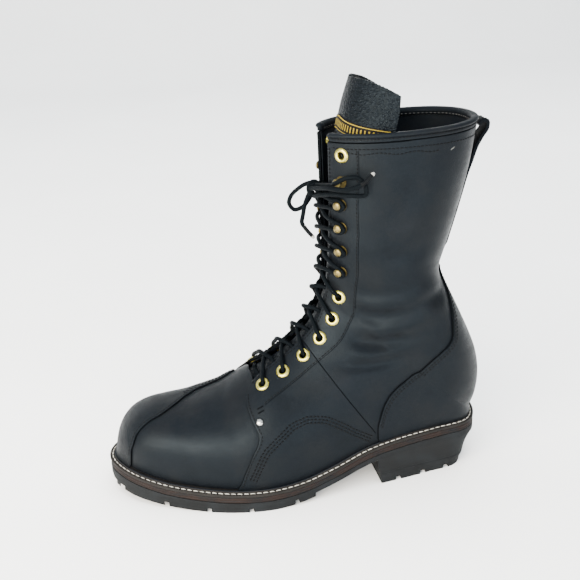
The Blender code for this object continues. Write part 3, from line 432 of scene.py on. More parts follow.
# Panels of the upper, by section s and by distance from the ridge or share up the half section.
FACING = lookup((9.4, 27.5), (9.84, 23.8), (10.4, 19.6), (11.05, 16.5), (12.7, 14.0), (14.3, 14.9),
                (15.8, 15.3), (17.5, 13.4), (20.85, 12.8), (24.1, 15.1), (26.5, 16.5), (28.0, 17.1),
                (29.4, 16.9), (31.9, 18.6))
QUARTER_SEAM = lookup((0.0, 8.68), (0.05, 8.82), (0.22, 9.19), (0.356, 9.6), (0.45, 10.01), (0.504, 10.11),
                      (0.576, 10.02), (0.707, 9.81), (0.85, 9.72), (0.94, 9.84), (1.0, 10.2))
VAMP_SEAM = lookup((0.0, 9.9), (0.12, 9.95), (0.211, 9.84), (0.295, 9.72), (0.413, 9.81), (0.522, 10.02),
                   (0.582, 10.11), (0.627, 10.01), (0.704, 9.6), (0.817, 9.19), (0.959, 8.82), (1.0, 8.7))
COUNTER_SHARE = (
    # section, share up the half section
    (13.95, 0.02), (14.15, 0.10), (14.56, 0.205), (15.3, 0.316), (15.9, 0.361), (16.7, 0.389), (18.0, 0.42),
    (19.16, 0.442), (20.2, 0.41), (21.1, 0.365), (21.8, 0.319), (22.5, 0.273), (23.1, 0.244), (24.2, 0.165),
    (24.7, 0.115), (25.3, 0.088), (26.0, 0.075),
)
COUNTER_EDGE = {side: lookup(*[(s, (1.0 - share) * form.half(s, side)) for s, share in COUNTER_SHARE])
                for side in SIDES}
PATCH_EDGE = lookup((2.9, -0.98), (3.11, -0.876), (3.21, -0.713), (3.52, -0.553), (3.85, -0.439),
                    (4.2, -0.375), (4.86, -0.298), (5.5, -0.242), (6.04, -0.163), (6.55, -0.059),
                    (6.8, 0.0), (7.05, 0.038), (7.55, 0.095), (8.0, 0.117), (8.8, 0.138), (9.5, 0.15))
TONGUE = curve((
    # section, half width, depth below the upper's outside
    (9.0, 21.0, 3.2), (10.2, 27.0, 4.2), (12.0, 31.0, 4.6), (19.0, 35.0, 4.8), (25.0, 44.0, 6.0),
    (28.0, 52.0, 7.6), (30.0, 62.0, 10.0), (32.0, 74.0, 14.0), (33.0, 77.0, 18.0), (34.0, 76.0, 22.5),
))
TONGUE_THICK = 2.4
TONGUE_CURL = 0.62      # share by which the sides come back up to the facings
TONGUE_ENDS = (9.2, 34.0, 0.6)  # first and last section, and how much sooner the sides end

FASTENINGS = (
    # kind, section, distance from the ridge
    ("eyelet", 10.9, 29.0), ("eyelet", 12.25, 27.0), ("eyelet", 13.6, 26.4), ("eyelet", 14.95, 26.6),
    ("eyelet", 16.7, 27.0), ("eyelet", 19.5, 27.0),
    ("hook", 22.7, 28.4), ("hook", 24.9, 29.8), ("hook", 26.8, 30.4), ("hook", 28.3, 30.5),
    ("hook", 29.5, 30.5), ("eyelet", 30.85, 31.4),
)
LACED = 10              # fastenings, counted from the toe, that hold the lace
RIVET = (10.28, 57.0)   # section, distance from the ridge
PANEL_EDGE_SHADE_BAND = 0.7        # dark strip along the panels' cut edges: painted shade beside the raised edge, over the edge's own dark colour
# the same dark strip along the overlays' edges: painted shade beside the raised edge
OVERLAY_EDGE_SHADE_BAND = 0.75
COUNTER_THICK, BACKSTAY_THICK, PATCH_THICK = 1.8, 1.6, 1.5
BACKSTAY_HALF = 8.5     # half width
PATCH_END, PATCH_SIDE = 9.55, 0.985     # last section, and share down the sides of the toe
THREAD_LIFT = 0.1       # of the upper's thread over the leather

# The bow, repeated from the part's source: forward, across and up.
KNOT = ((129.2, -12.0, 246.8), (131.7, -3.0, 248.6), (131.7, 3.0, 248.6), (129.2, 12.0, 246.8))
KNOT_THICK = 4.2
BOW = {
    "lace_loop_outer": (
        (131.5, -5.0, 252.6), (127.5, -20.0, 256.0), (125.5, -31.0, 258.5), (124.0, -39.0, 262.0),
        (116.0, -45.5, 267.0), (109.2, -48.0, 266.5), (104.5, -50.0, 261.0), (104.0, -50.0, 254.6),
        (115.2, -47.0, 253.6), (125.5, -36.0, 252.6), (134.2, -15.0, 246.8), (134.0, -6.5, 244.2)),
    "lace_loop_inner": (
        (132.0, 5.0, 252.6), (137.0, 8.0, 251.0), (143.5, 11.0, 246.5), (149.0, 13.0, 240.5),
        (150.5, 14.0, 234.5), (146.5, 13.5, 229.0), (140.5, 11.5, 231.0), (135.0, 9.0, 238.0),
        (132.5, 6.5, 244.2)),
    "lace_end_outer": (
        (135.9, -2.0, 249.5), (134.0, -14.0, 252.5), (128.5, -36.5, 257.5), (116.5, -51.0, 259.5),
        (107.5, -54.5, 263.5), (100.5, -54.0, 269.5)),
    "lace_end_inner": (
        (134.9, 2.5, 247.3), (139.5, 1.0, 238.0), (142.4, -1.0, 228.2), (143.6, -2.0, 222.0),
        (141.0, -4.0, 217.3), (136.8, -7.0, 212.0)),
}
AGLET = 11.0            # length of the hard end of the lace
CORD_STEP = 0.8         # spacing of the rings along the bow's cords


class Piece:
    """Collects the points, faces and texture places of one visible piece."""

    def __init__(self):
        self.points, self.faces, self.places, self.finish = [], [], [], []
        self.count = 0

    def add(self, points, faces, places=None, finish=0):
        points = np.asarray(points, float).reshape(-1, 3)
        if places is None:
            places = np.zeros((len(points), 2))
        self.points.append(points)
        self.places.append(np.asarray(places, float).reshape(-1, 2))
        self.faces += [[int(v) + self.count for v in face] for face in faces]
        self.finish += np.broadcast_to(finish, len(faces)).tolist()
        self.count += len(points)

    def make(self, name, finishes, slot, replaces=(), sharp=40.0, weld=True):
        """Make the object, ride it on the boot and hide the parts that it replaces."""
        mesh = bpy.data.meshes.new(name)
        mesh.from_pydata(place(np.vstack(self.points)).tolist(), [], self.faces)
        mesh.polygons.foreach_set("material_index", self.finish)
        layer = mesh.uv_layers.new(name="places")
        corner = np.zeros(len(mesh.loops), int)
        mesh.loops.foreach_get("vertex_index", corner)
        layer.data.foreach_set("uv", np.vstack(self.places)[corner].ravel())
        work = bmesh.new()
        work.from_mesh(mesh)
        if weld:
            bmesh.ops.remove_doubles(work, verts=work.verts, dist=2e-7)
        bmesh.ops.dissolve_degenerate(work, edges=work.edges, dist=1e-7)
        bmesh.ops.recalc_face_normals(work, faces=work.faces)
        work.to_mesh(mesh)
        work.free()
        for finish in finishes:
            mesh.materials.append(finish)
        mesh.shade_smooth()
        mesh.set_sharp_from_angle(angle=math.radians(sharp))
        piece = bpy.data.objects.new(name, mesh)
        bpy.context.scene.collection.objects.link(piece)
        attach(piece, BODY)
        if replaces:
            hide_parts(*replaces)
        return piece


def grid_faces(rows, columns, around=False, closed=False):
    """Four-sided faces of a grid; around joins the last column to the first, and closed the last row."""
    number = np.arange(rows * columns).reshape(rows, columns)
    if closed:
        number = np.vstack([number, number[:1]])
    if around:
        number = np.hstack([number, number[:, :1]])
    corners = [number[:-1, :-1], number[1:, :-1], number[1:, 1:], number[:-1, 1:]]
    return np.stack(corners, axis=-1).reshape(-1, 4)


def without_repeats(face):
    """A face without the corners that fall together with the one before."""
    return [v for k, v in enumerate(face) if v != face[k - 1]]


def skin(piece, rings, places=None, finish=0, capped=True):
    """Add a skin over rings of points, with a flat cap on the first and the last."""
    rings = np.asarray(rings)
    rows, size = rings.shape[:2]
    faces = grid_faces(rows, size, around=True).tolist()
    if capped:
        faces += [list(range(size)), list(range((rows - 1) * size, rows * size))]
    piece.add(rings, faces, places, finish)


def slab(piece, outer, inner, places):
    """Add a sheet between two grids of points, closed round its border."""
    rows, columns = outer.shape[:2]
    size = rows * columns
    number = np.arange(size).reshape(rows, columns)
    faces = grid_faces(rows, columns)
    border = np.concatenate([number[0, :-1], number[:-1, -1], number[-1, :0:-1], number[:0:-1, 0]])
    following = np.roll(border, -1)
    rim = np.column_stack([border, following, following + size, border + size])
    faces = faces.tolist() + (faces[:, ::-1] + size).tolist() + rim.tolist()
    piece.add(np.vstack([outer.reshape(-1, 3), inner.reshape(-1, 3)]), faces, np.vstack([places, places]))


def spread(count, ends=(0.0012, 0.003, 0.006, 0.011)):
    """Values from 0 to 1 that crowd at both ends, for a rolled edge."""
    ends = np.array(ends)
    return np.concatenate([[0.0], ends, np.linspace(0.02, 0.98, count), 1.0 - ends[::-1], [1.0]])


def shell(piece, grids, roll=0.7, band=0.0):
    """Add a closed shell: grids of (s, c, outer lift, inner lift) on the form, joined where they meet.

    Faces nearer to the shell's border than the band take the second finish.
    """
    points, normals, outs, deeps, places, faces = [], [], [], [], [], []
    count = 0
    for s, c, out, deep in grids:
        s, c, out, deep = np.broadcast_arrays(*[np.asarray(v, float) for v in (s, c, out, deep)])
        p, n = form.at(s, c)
        far = np.where(c < 0, form.half(s, OUTER), form.half(s, INNER)) * c
        points.append(p.reshape(-1, 3))
        normals.append(n.reshape(-1, 3))
        outs.append(out.ravel())
        deeps.append(deep.ravel())
        places.append(np.column_stack([far.ravel(), (s * 10.0).ravel()]))
        faces.append(grid_faces(*s.shape) + count)
        count += s.size
    points, normals, places = np.vstack(points), np.vstack(normals), np.vstack(places)
    outs, deeps, faces = np.concatenate(outs), np.concatenate(deeps), np.vstack(faces)
    _, first, joined = np.unique(np.round(points, 2), axis=0, return_index=True, return_inverse=True)
    joined = joined.ravel()
    total = np.zeros((len(first), 3))
    np.add.at(total, joined, normals)
    points, normals, places = points[first], unit(total), places[first]
    outs, deeps = outs[first], deeps[first]
    kept = []
    for face in joined[faces]:
        face = without_repeats(face)
        if len(set(face)) == len(face) and len(face) > 2:
            kept.append(face)
    edges = {}
    for face in kept:
        for k, v in enumerate(face):
            pair = (face[k - 1], v)
            key = (min(pair), max(pair))
            edges[key] = None if key in edges else pair
    rims = [pair for pair in edges.values() if pair]
    border = sorted({v for pair in rims for v in pair})
    tree = tree_of(points[border])
    inset = np.array([tree.find(p)[2] for p in points])
    gap = np.clip(inset / roll, 0.0, 1.0)
    outs = outs - roll * 0.8 * (1.0 - np.sqrt(1.0 - (1.0 - gap) ** 2))
    outs = np.maximum(outs, deeps + 0.15)
    size = len(points)
    solid = np.vstack([points + normals * outs[:, None], points + normals * deeps[:, None]])
    back = [[v + size for v in face[::-1]] for face in kept]
    sides = [(b, a, a + size, b + size) for a, b in rims]
    # faces within the band take the dark edge finish: painted shade along the raised edge
    dark = [int(inset[face].max() < band) for face in kept]
    finish = dark + [0] * len(back) + [int(band > 0.0)] * len(sides)
    piece.add(solid, kept + back + sides, np.vstack([places, places]), finish)


def frames(line):
    """Directions along a line, and two directions across it that turn as little as they can."""
    along = unit(np.gradient(line, axis=0))
    first = np.cross(along[0], (0.0, 0.0, 1.0))
    if np.linalg.norm(first) < 0.1:
        first = np.cross(along[0], (0.0, 1.0, 0.0))
    across = [unit(first)]
    for direction in along[1:]:
        turned = across[-1] - direction * (across[-1] @ direction)
        across.append(unit(turned))
    across = np.array(across)
    return along, across, np.cross(along, across)


DOME = ((0.35, 0.85), (0.55, 0.4))     # a cord's end: heights and widths, in radii


def tube(piece, line, radius, sides=14, finish=0):
    """Add a round cord along a line, closed by domed ends; radius may vary along it."""
    along, across, other = frames(line)
    radius = np.broadcast_to(np.asarray(radius, float), len(line))
    angle = np.linspace(0.0, 2 * math.pi, sides, endpoint=False)

    def dome(k, way, height, width):
        return line[k] + along[k] * way * radius[k] * height, radius[k] * width, k

    rows = [dome(0, -1.0, *DOME[1]), dome(0, -1.0, *DOME[0])]
    rows += [(line[k], radius[k], k) for k in range(len(line))]
    rows += [dome(-1, 1.0, *DOME[0]), dome(-1, 1.0, *DOME[1])]
    rings = [centre + r * (np.cos(angle)[:, None] * across[k] + np.sin(angle)[:, None] * other[k])
             for centre, r, k in rows]
    run = run_along([row[0] for row in rows])
    turn = np.abs(np.linspace(-1.0, 1.0, sides, endpoint=False))
    skin(piece, rings, np.stack(np.meshgrid(run, turn, indexing="ij"), axis=-1), finish)


def turned(piece, profile, spot, out, sides, finish=0):
    """Add a turned part from a profile of (radius, height), standing on a spot along a direction."""
    out = unit(out)
    first = unit(np.cross(out, (0.0, 0.3, 1.0)))
    second = np.cross(out, first)
    angle = np.linspace(0.0, 2 * math.pi, sides, endpoint=False)
    ring = np.cos(angle)[:, None] * first + np.sin(angle)[:, None] * second
    rings = [spot + max(radius, 0.02) * ring + height * out for radius, height in profile]
    skin(piece, rings, None, finish, profile[0] != profile[-1])


# One stitch: places along it from -0.5 to 0.5, its thickness there and how far it dips.
STITCH = np.array(((-0.5, 0.3, 0.55), (-0.42, 0.8, 0.25), (-0.2, 1.0, 0.0), (0.2, 1.0, 0.0),
                   (0.42, 0.8, 0.25), (0.5, 0.3, 0.55)))
STITCH_SIDES = 6


def stitches(piece, line, normals, pitch, length, radius, slant=0.0, finish=0):
    """Add a row of stitches at a pitch along a line that lies on a surface."""
    run = run_along(line)
    count = max(1, int(run[-1] / pitch))
    want = (np.arange(count) + 0.5) * run[-1] / count
    centre = sample(want, run, line)
    out = unit(sample(want, run, normals))
    along = unit(sample(want, run, np.gradient(line, run, axis=0)))
    across = unit(np.cross(out, along))
    along = unit(along + across * slant)
    across = unit(np.cross(out, along))
    angle = np.linspace(0.0, 2 * math.pi, STITCH_SIDES, endpoint=False)
    x, thick, dip = STITCH.T
    place_x = np.repeat(x * length, STITCH_SIDES)
    place_y = (thick[:, None] * np.cos(angle)).ravel() * radius
    place_z = (thick[:, None] * np.sin(angle) - dip[:, None] * 1.3).ravel() * radius
    points = (centre[:, None] + along[:, None] * place_x[None, :, None]
              + across[:, None] * place_y[None, :, None] + out[:, None] * place_z[None, :, None])
    for one in points:
        skin(piece, one.reshape(len(STITCH), STITCH_SIDES, 3), None, finish)


def seam(places, offset, lift, spacing=1.0):
    """A seam's line on the form through places of (s, c), moved sideways by an offset."""
    s, c = np.array(places, float).T
    key = np.arange(len(s), dtype=float)
    dense = np.linspace(0.0, len(s) - 1.0, 40 * len(s))
    s, c = np.moveaxis(curve(np.column_stack([key, s, c]))(dense), -1, 0)
    points, normals = form.at(s, c)
    if offset:
        way = unit(np.gradient(points, axis=0))
        points = points + np.cross(normals, way) * offset
    run = run_along(points)
    want = np.linspace(0.0, run[-1], max(4, int(run[-1] / spacing)))
    return form.settle(sample(want, run, points), lift)


class Finish:
    """Builds one node material around the standard shader."""

    def __init__(self, name, colour, roughness, metallic=0.0):
        self.material = bpy.data.materials.new(name)
        self.material.use_nodes = True
        self.tree = self.material.node_tree
        self.shader = self.tree.nodes["Principled BSDF"]
        self.set("Base Color", (*colour[:3], 1.0))
        self.set("Roughness", roughness)
        self.set("Metallic", metallic)
        self.material.diffuse_color = (*colour[:3], 1.0)
        self.coordinates = self.tree.nodes.new("ShaderNodeTexCoord")

    def set(self, socket, value):
        self.shader.inputs[socket].default_value = value

    def gloss(self, level, colour=(1.0, 1.0, 1.0, 1.0)):
        """How strongly it shines, and in what colour."""
        self.set("Specular IOR Level", level)
        self.set("Specular Tint", colour)

    def node(self, kind, inputs=(), **settings):
        made = self.tree.nodes.new(kind)
        for key, value in settings.items():
            setattr(made, key, value)
        for key, value in dict(inputs).items():
            if isinstance(value, bpy.types.NodeSocket):
                self.tree.links.new(value, made.inputs[key])
            else:
                made.inputs[key].default_value = value
        return made

    def link(self, output, socket):
        self.tree.links.new(output, self.shader.inputs[socket])

    def millimetres(self, scale=(1.0, 1.0, 1.0), turn=(0.0, 0.0, 0.0)):
        """Texture places in millimetres, stretched and turned."""
        return self.node("ShaderNodeMapping", {
            "Vector": self.coordinates.outputs["Object"], "Scale": tuple(1000.0 * v for v in scale),
            "Rotation": tuple(math.radians(v) for v in turn)}).outputs["Vector"]

    def noise(self, vector, scale, detail=3.0, rough=0.55):
        return self.node("ShaderNodeTexNoise", {
            "Vector": vector, "Scale": scale, "Detail": detail, "Roughness": rough}).outputs["Fac"]

    def cells(self, vector, scale, feature="F1"):
        made = self.node("ShaderNodeTexVoronoi", {"Vector": vector, "Scale": scale}, feature=feature)
        return made.outputs["Distance"]

    def math(self, operation, *values):
        return self.node("ShaderNodeMath", dict(enumerate(values)), operation=operation).outputs[0]

    def blend(self, first, share, second, rest):
        """The sum of two values, each times its share."""
        return self.math("ADD", self.math("MULTIPLY", first, share), self.math("MULTIPLY", second, rest))

    def within(self, value, low, high):
        """One where a value lies between two limits, else nothing."""
        over, under = self.math("GREATER_THAN", value, low), self.math("LESS_THAN", value, high)
        return self.math("MULTIPLY", over, under)

    def ramp(self, factor, stops):
        """Colours along a factor, from stops of (place, colour)."""
        made = self.node("ShaderNodeValToRGB", {"Fac": factor})
        elements = made.color_ramp.elements
        while len(elements) < len(stops):
            elements.new(0.5)
        for element, (where, colour) in zip(elements, stops):
            element.position = where
            element.color = (*colour[:3], 1.0)
        return made.outputs["Color"]

    def paint(self, factor, stops):
        self.link(self.ramp(factor, stops), "Base Color")

    def roughen(self, *span):
        self.link(self.span(*span), "Roughness")

    def emboss(self, *bump):
        self.link(self.bump(*bump), "Normal")

    def texture_places(self):
        """The two places that each piece's texture layer gives."""
        return self.node("ShaderNodeSeparateXYZ", {"Vector": self.coordinates.outputs["UV"]}).outputs[:2]

    def span(self, factor, low, high, source=(0.3, 0.7)):
        """A factor's source range stretched from low to high."""
        return self.node("ShaderNodeMapRange", {
            "Value": factor, "From Min": source[0], "From Max": source[1], "To Min": low, "To Max": high},
        ).outputs["Result"]

    def mix(self, factor, first, second):
        """One colour over another by a factor."""
        made = self.node("ShaderNodeMix", data_type="RGBA")
        colours = [socket for socket in made.inputs if socket.type == "RGBA"]
        self.tree.links.new(factor, made.inputs[0])
        self.tree.links.new(first, colours[0])
        colours[1].default_value = second
        return next(socket for socket in made.outputs if socket.type == "RGBA")

    def scratch(self, where, half, tilt):
        """A mask round a short slanting line on the form."""
        turn = Matrix.Rotation(math.radians(tilt), 3, "Y")
        spot = turn @ (Vector(place(form.at(*where)[0])) * 1000.0)
        centred = self.node("ShaderNodeMapping", {
            "Vector": self.coordinates.outputs["Object"], "Scale": (1000.0, 1000.0, 1000.0),
            "Rotation": turn.to_euler(), "Location": tuple(-spot)}).outputs["Vector"]
        reach = self.node("ShaderNodeMapping", {
            "Vector": centred, "Scale": (1.0 / half[0], 0.1, 1.0 / half[1])}).outputs["Vector"]
        gap = self.node("ShaderNodeVectorMath", {0: reach}, operation="LENGTH").outputs["Value"]
        broken = self.math("ADD", gap, self.span(self.noise(centred, 1.2, 3.0), -0.35, 0.35))
        return self.span(broken, 0.6, 0.0, (0.6, 1.0))

    def bump(self, height, depth, strength=1.0, under=None):
        """Relief of a depth in millimetres."""
        inputs = {"Height": height, "Distance": depth * MM, "Strength": strength}
        if under is not None:
            inputs["Normal"] = under
        return self.node("ShaderNodeBump", inputs).outputs["Normal"]


def shade(colour, factor):
    return tuple(min(1.0, v * factor) for v in colour[:3])


def tint(colour, warm):
    """The same colour a little warmer, or cooler below zero."""
    return (colour[0] * (1 + warm), colour[1], colour[2] * (1 - warm))


COOL = (0.7, 0.87, 1.0, 1.0)  # colour of the gloss on black leather and lace
SCRATCH = (30.96, -0.691)     # section and share across of the light scratch on the shaft
SCRATCH_HALF = (2.8, 0.45)    # half length and half width
SCRATCH_TILT = 30.0
SCRATCH_COLOUR = (0.16, 0.16, 0.15, 1.0)


def leather_finish(name, colour, grain, relief, rough=(0.31, 0.48), lines=0.0, scratched=False, gloss=0.07):
    """Oiled leather: cloudy colour, fine pores, a soft broken sheen; lines adds drawn-out grain."""
    made = Finish(name, colour, 0.45)
    space = made.millimetres()
    cloud = made.noise(space, 0.035, 4.0)
    fine = made.noise(space, 0.45, 4.0, 0.65)
    mixed = made.blend(cloud, 0.65, fine, 0.35)
    base = made.ramp(mixed, ((0.30, shade(colour, 0.7)), (0.47, tint(colour, -0.08)),
                             (0.60, tint(shade(colour, 1.25), 0.06)), (0.75, shade(colour, 1.7))))
    if scratched:
        base = made.mix(made.scratch(SCRATCH, SCRATCH_HALF, SCRATCH_TILT), base, SCRATCH_COLOUR)
    # Fine scuffs that catch the light.
    scuff = made.noise(made.millimetres((0.35, 0.35, 1.3), (0.0, 24.0, 0.0)), 0.7, 5.0, 0.72)
    base = made.mix(made.span(scuff, 0.0, 0.22, (0.62, 0.78)), base, (*shade(colour, 7.0), 1.0))
    made.link(base, "Base Color")
    drift = made.noise(made.millimetres((0.5, 0.5, 1.6), (0.0, 12.0, 0.0)), 0.08, 6.0, 0.66)
    sheen = made.blend(drift, 0.7, made.noise(space, 0.9, 2.0), 0.3)
    made.roughen(sheen, *rough, (0.38, 0.62))
    made.gloss(gloss, COOL)
    pores = made.cells(space, 1.0 / grain)
    ripple = made.noise(space, 1.4 / grain, 5.0, 0.6)
    height = made.blend(pores, 0.5, ripple, 0.9)
    if lines:
        drawn = made.noise(made.millimetres((0.16, 0.9, 1.5), (0.0, 38.0, 20.0)), 0.9, 4.0, 0.7)
        height = made.blend(height, 1.0, drawn, lines)
    wave = made.noise(space, 0.12, 3.0, 0.5)
    made.emboss(height, relief, 0.6, made.bump(wave, 0.35, 0.35))
    return made.material


def pebbled_finish(name, colour):
    """Embossed tongue leather: uneven pebbles that run into slanting rows."""
    made = Finish(name, colour, 0.6)
    space = made.millimetres()
    wobble = made.noise(space, 0.25, 4.0, 0.6)
    pebbles = made.cells(made.millimetres((0.8, 0.8, 1.35), (0.0, -28.0, 0.0)), 0.7, "SMOOTH_F1")
    small = made.cells(space, 1.5, "SMOOTH_F1")
    height = made.math("SUBTRACT", 1.0, made.blend(pebbles, 1.0, small, 0.3))
    # The colour follows the pebbles' height: painted shade between the pebbles and a painted highlight on
    # their tops.
    made.paint(height, ((0.25, shade(colour, 0.35)), (0.5, colour), (0.8, shade(colour, 1.5))))
    made.roughen(wobble, 0.34, 0.5)
    made.emboss(height, 0.75, 0.9)
    made.gloss(0.07, COOL)
    return made.material


def thread_finish(name, colour):
    """Twisted waxed thread."""
    made = Finish(name, colour, 0.6)
    space = made.millimetres()
    dirt = made.noise(space, 0.09, 4.0, 0.7)
    made.paint(dirt, ((0.3, shade(colour, 0.45)), (0.5, colour), (0.75, shade(colour, 1.1))))
    made.gloss(0.06)
    made.emboss(made.noise(space, 3.0, 2.0), 0.1, 0.6)
    return made.material


def edge_finish(name, colour, other, streak):
    """A stacked and trimmed edge: streaks along the layers, scuffs and dust."""
    made = Finish(name, colour, 0.7)
    layers = made.noise(made.millimetres((0.03, 0.03, 1.6)), 1.0, 4.0, 0.6)
    blotch = made.noise(made.millimetres(), 0.05, 5.0, 0.62)
    mixed = made.blend(layers, streak, blotch, 1.0 - streak)
    made.paint(mixed, ((0.32, shade(colour, 0.6)), (0.46, colour), (0.58, other), (0.74, shade(other, 1.35))))
    made.roughen(blotch, 0.55, 0.82)
    made.gloss(0.1)
    height = made.blend(layers, 0.7, made.noise(made.millimetres(), 1.2, 4.0, 0.7), 1.0)
    made.emboss(height, 0.22, 0.6)
    return made.material


def metal_finish(name, colour, worn, rough):
    """Plated brass or nickel, tarnished in blotches and finely scratched."""
    made = Finish(name, colour, rough[0], 1.0)
    space = made.millimetres()
    tarnish = made.noise(space, 0.7, 4.0, 0.65)
    made.paint(tarnish, ((0.32, worn), (0.5, colour), (0.72, shade(colour, 1.15))))
    made.roughen(made.noise(space, 1.5, 3.0), *rough)
    made.emboss(made.noise(space, 4.0, 3.0), 0.05, 0.4)
    return made.material


def braid_finish(name, colour):
    """Round braided cord: two sets of strands that cross round it."""
    made = Finish(name, colour, 0.8)
    run, turn = made.texture_places()
    strands = [made.math("SINE", made.blend(run, 2.6, turn, way)) for way in (12.0, -12.0)]
    weave = made.math("MULTIPLY", *strands)
    fuzz = made.noise(made.millimetres(), 2.2, 3.0)
    mixed = made.blend(weave, 0.25, fuzz, 1.0)
    # The colour follows the same relief as the bump: painted shade between the strands and painted highlight
    # on their crowns, over random fuzz.
    made.paint(mixed, ((0.25, shade(colour, 0.55)), (0.55, colour), (0.85, shade(colour, 2.2))))
    made.roughen(fuzz, 0.62, 0.85)
    made.emboss(mixed, 0.45, 0.8)
    made.gloss(0.07, COOL)
    return made.material


def band_finish(name, cloth, gold):
    """Woven label band: black cloth with plain gold bars between two gold lines."""
    made = Finish(name, cloth, 0.65)
    made.gloss(0.08)
    along, up = made.texture_places()
    bars = made.math("GREATER_THAN", made.math("SINE", made.math("MULTIPLY", along, 1.55)), 0.4)
    lines = made.math("MAXIMUM", made.within(up, 0.08, 0.14), made.within(up, 0.86, 0.92))
    mask = made.math("MAXIMUM", made.math("MULTIPLY", bars, made.within(up, 0.28, 0.72)), lines)
    weave = made.noise(made.millimetres((1.0, 1.0, 3.0)), 2.2, 2.0)
    woven = made.math("MULTIPLY", mask, made.span(weave, 0.55, 1.0))
    made.paint(woven, ((0.1, cloth), (0.45, shade(gold, 0.5)), (1.0, gold)))
    made.emboss(made.math("ADD", mask, weave), 0.2, 0.7)
    return made.material


def floor_finish(name, colour):
    """Pale matt floor with the faintest unevenness."""
    made = Finish(name, colour, 0.7)
    cloud = made.noise(made.millimetres(), 0.004, 3.0)
    made.paint(cloud, ((0.3, shade(colour, 0.97)), (0.7, colour)))
    made.roughen(cloud, 0.6, 0.75)
    return made.material


FROM_RECORD = {m["slot"]: tuple(m["base_color"]) for m in frame["record"]["materials"]}


def colour_property(name, description, default):
    return FloatVectorProperty(name=name, description=description, default=default, size=3, min=0.0, max=1.0,
                               subtype="COLOR")


def size_property(name, description, default):
    return FloatProperty(name=name, description=description, default=default * MM, min=0.0, unit="LENGTH",
                         precision=5)


class BootColours(bpy.types.PropertyGroup):
    """Colours of the boot's materials, linear."""

    leather: colour_property("Leather", "Oiled leather of the upper", (0.0025, 0.0029, 0.0036))
    tongue: colour_property("Tongue", "Embossed leather of the tongue",
                            tint(shade(FROM_RECORD["grained_leather"], 0.12), -0.25))
    welt: colour_property("Welt", "Edge-dyed leather of the welt", shade(FROM_RECORD["welt_leather"], 0.2))
    midsole: colour_property("Midsole", "Raw edge of the midsole", shade(FROM_RECORD["midsole"], 0.145))
    rubber: colour_property("Rubber", "Outsole and heel", (0.0028, 0.0033, 0.0038))
    insole: colour_property("Insole", "Leather footbed", FROM_RECORD["insole"])
    brass: colour_property("Brass", "Eyelets", (0.47, 0.405, 0.095))
    aged_brass: colour_property("Aged brass", "Lace hooks", (0.125, 0.098, 0.036))
    nickel: colour_property("Nickel", "Rivets", shade(FROM_RECORD["nickel"], 0.5))
    lace: colour_property("Lace", "Braided cord", tint(shade(FROM_RECORD["lace"], 0.06), -0.4))
    thread: colour_property("Upper thread", "Thread of the upper's seams", (0.0016, 0.0018, 0.0021))
    welt_thread: colour_property("Welt thread", "Thick thread round the welt", (0.33, 0.32, 0.29))
    pale_thread: colour_property("Collar thread", "Thread seen inside the collar", (0.05, 0.05, 0.048))
    gold: colour_property("Label gold", "Lines of the woven band on the tongue", (0.21, 0.15, 0.016))
    tip: colour_property("Lace tip", "Hard ends of the lace", (0.20, 0.20, 0.19))
    floor: colour_property("Floor", "Floor and backdrop", (0.90, 0.90, 0.895))


class BootSizes(bpy.types.PropertyGroup):
    """Sizes of what is added over the solids."""

    lace: size_property("Lace", "Diameter of the lace", 3.5)
    upper_pitch: size_property("Seam pitch", "Length of one stitch and its gap on the upper", 3.1)
    upper_stitch: size_property("Seam stitch", "Length of one stitch on the upper", 2.3)
    upper_thread: size_property("Seam thread", "Radius of the upper's thread", 0.42)
    welt_pitch: size_property("Welt pitch", "Length of one stitch and its gap round the welt", 5.2)
    welt_stitch: size_property("Welt stitch", "Length of one stitch round the welt", 4.1)
    welt_thread: size_property("Welt thread", "Radius of the welt's thread", 0.40)
    grain: size_property("Grain", "Size of the leather's pores", 0.8)
    pinking: size_property("Pinking", "Depth of the teeth along the tongue's top", 0.7)
    creases: FloatProperty(name="Creases", description="Share of the worn creases", default=1.0,
                           min=0.0, max=2.0, subtype="FACTOR")


class BootSettings(bpy.types.PropertyGroup):
    """Everything that a user would change."""

    colours: PointerProperty(type=BootColours, name="Colours", description="Colours of the materials")
    sizes: PointerProperty(type=BootSizes, name="Sizes", description="Sizes of the added detail")


FINISHES = {}


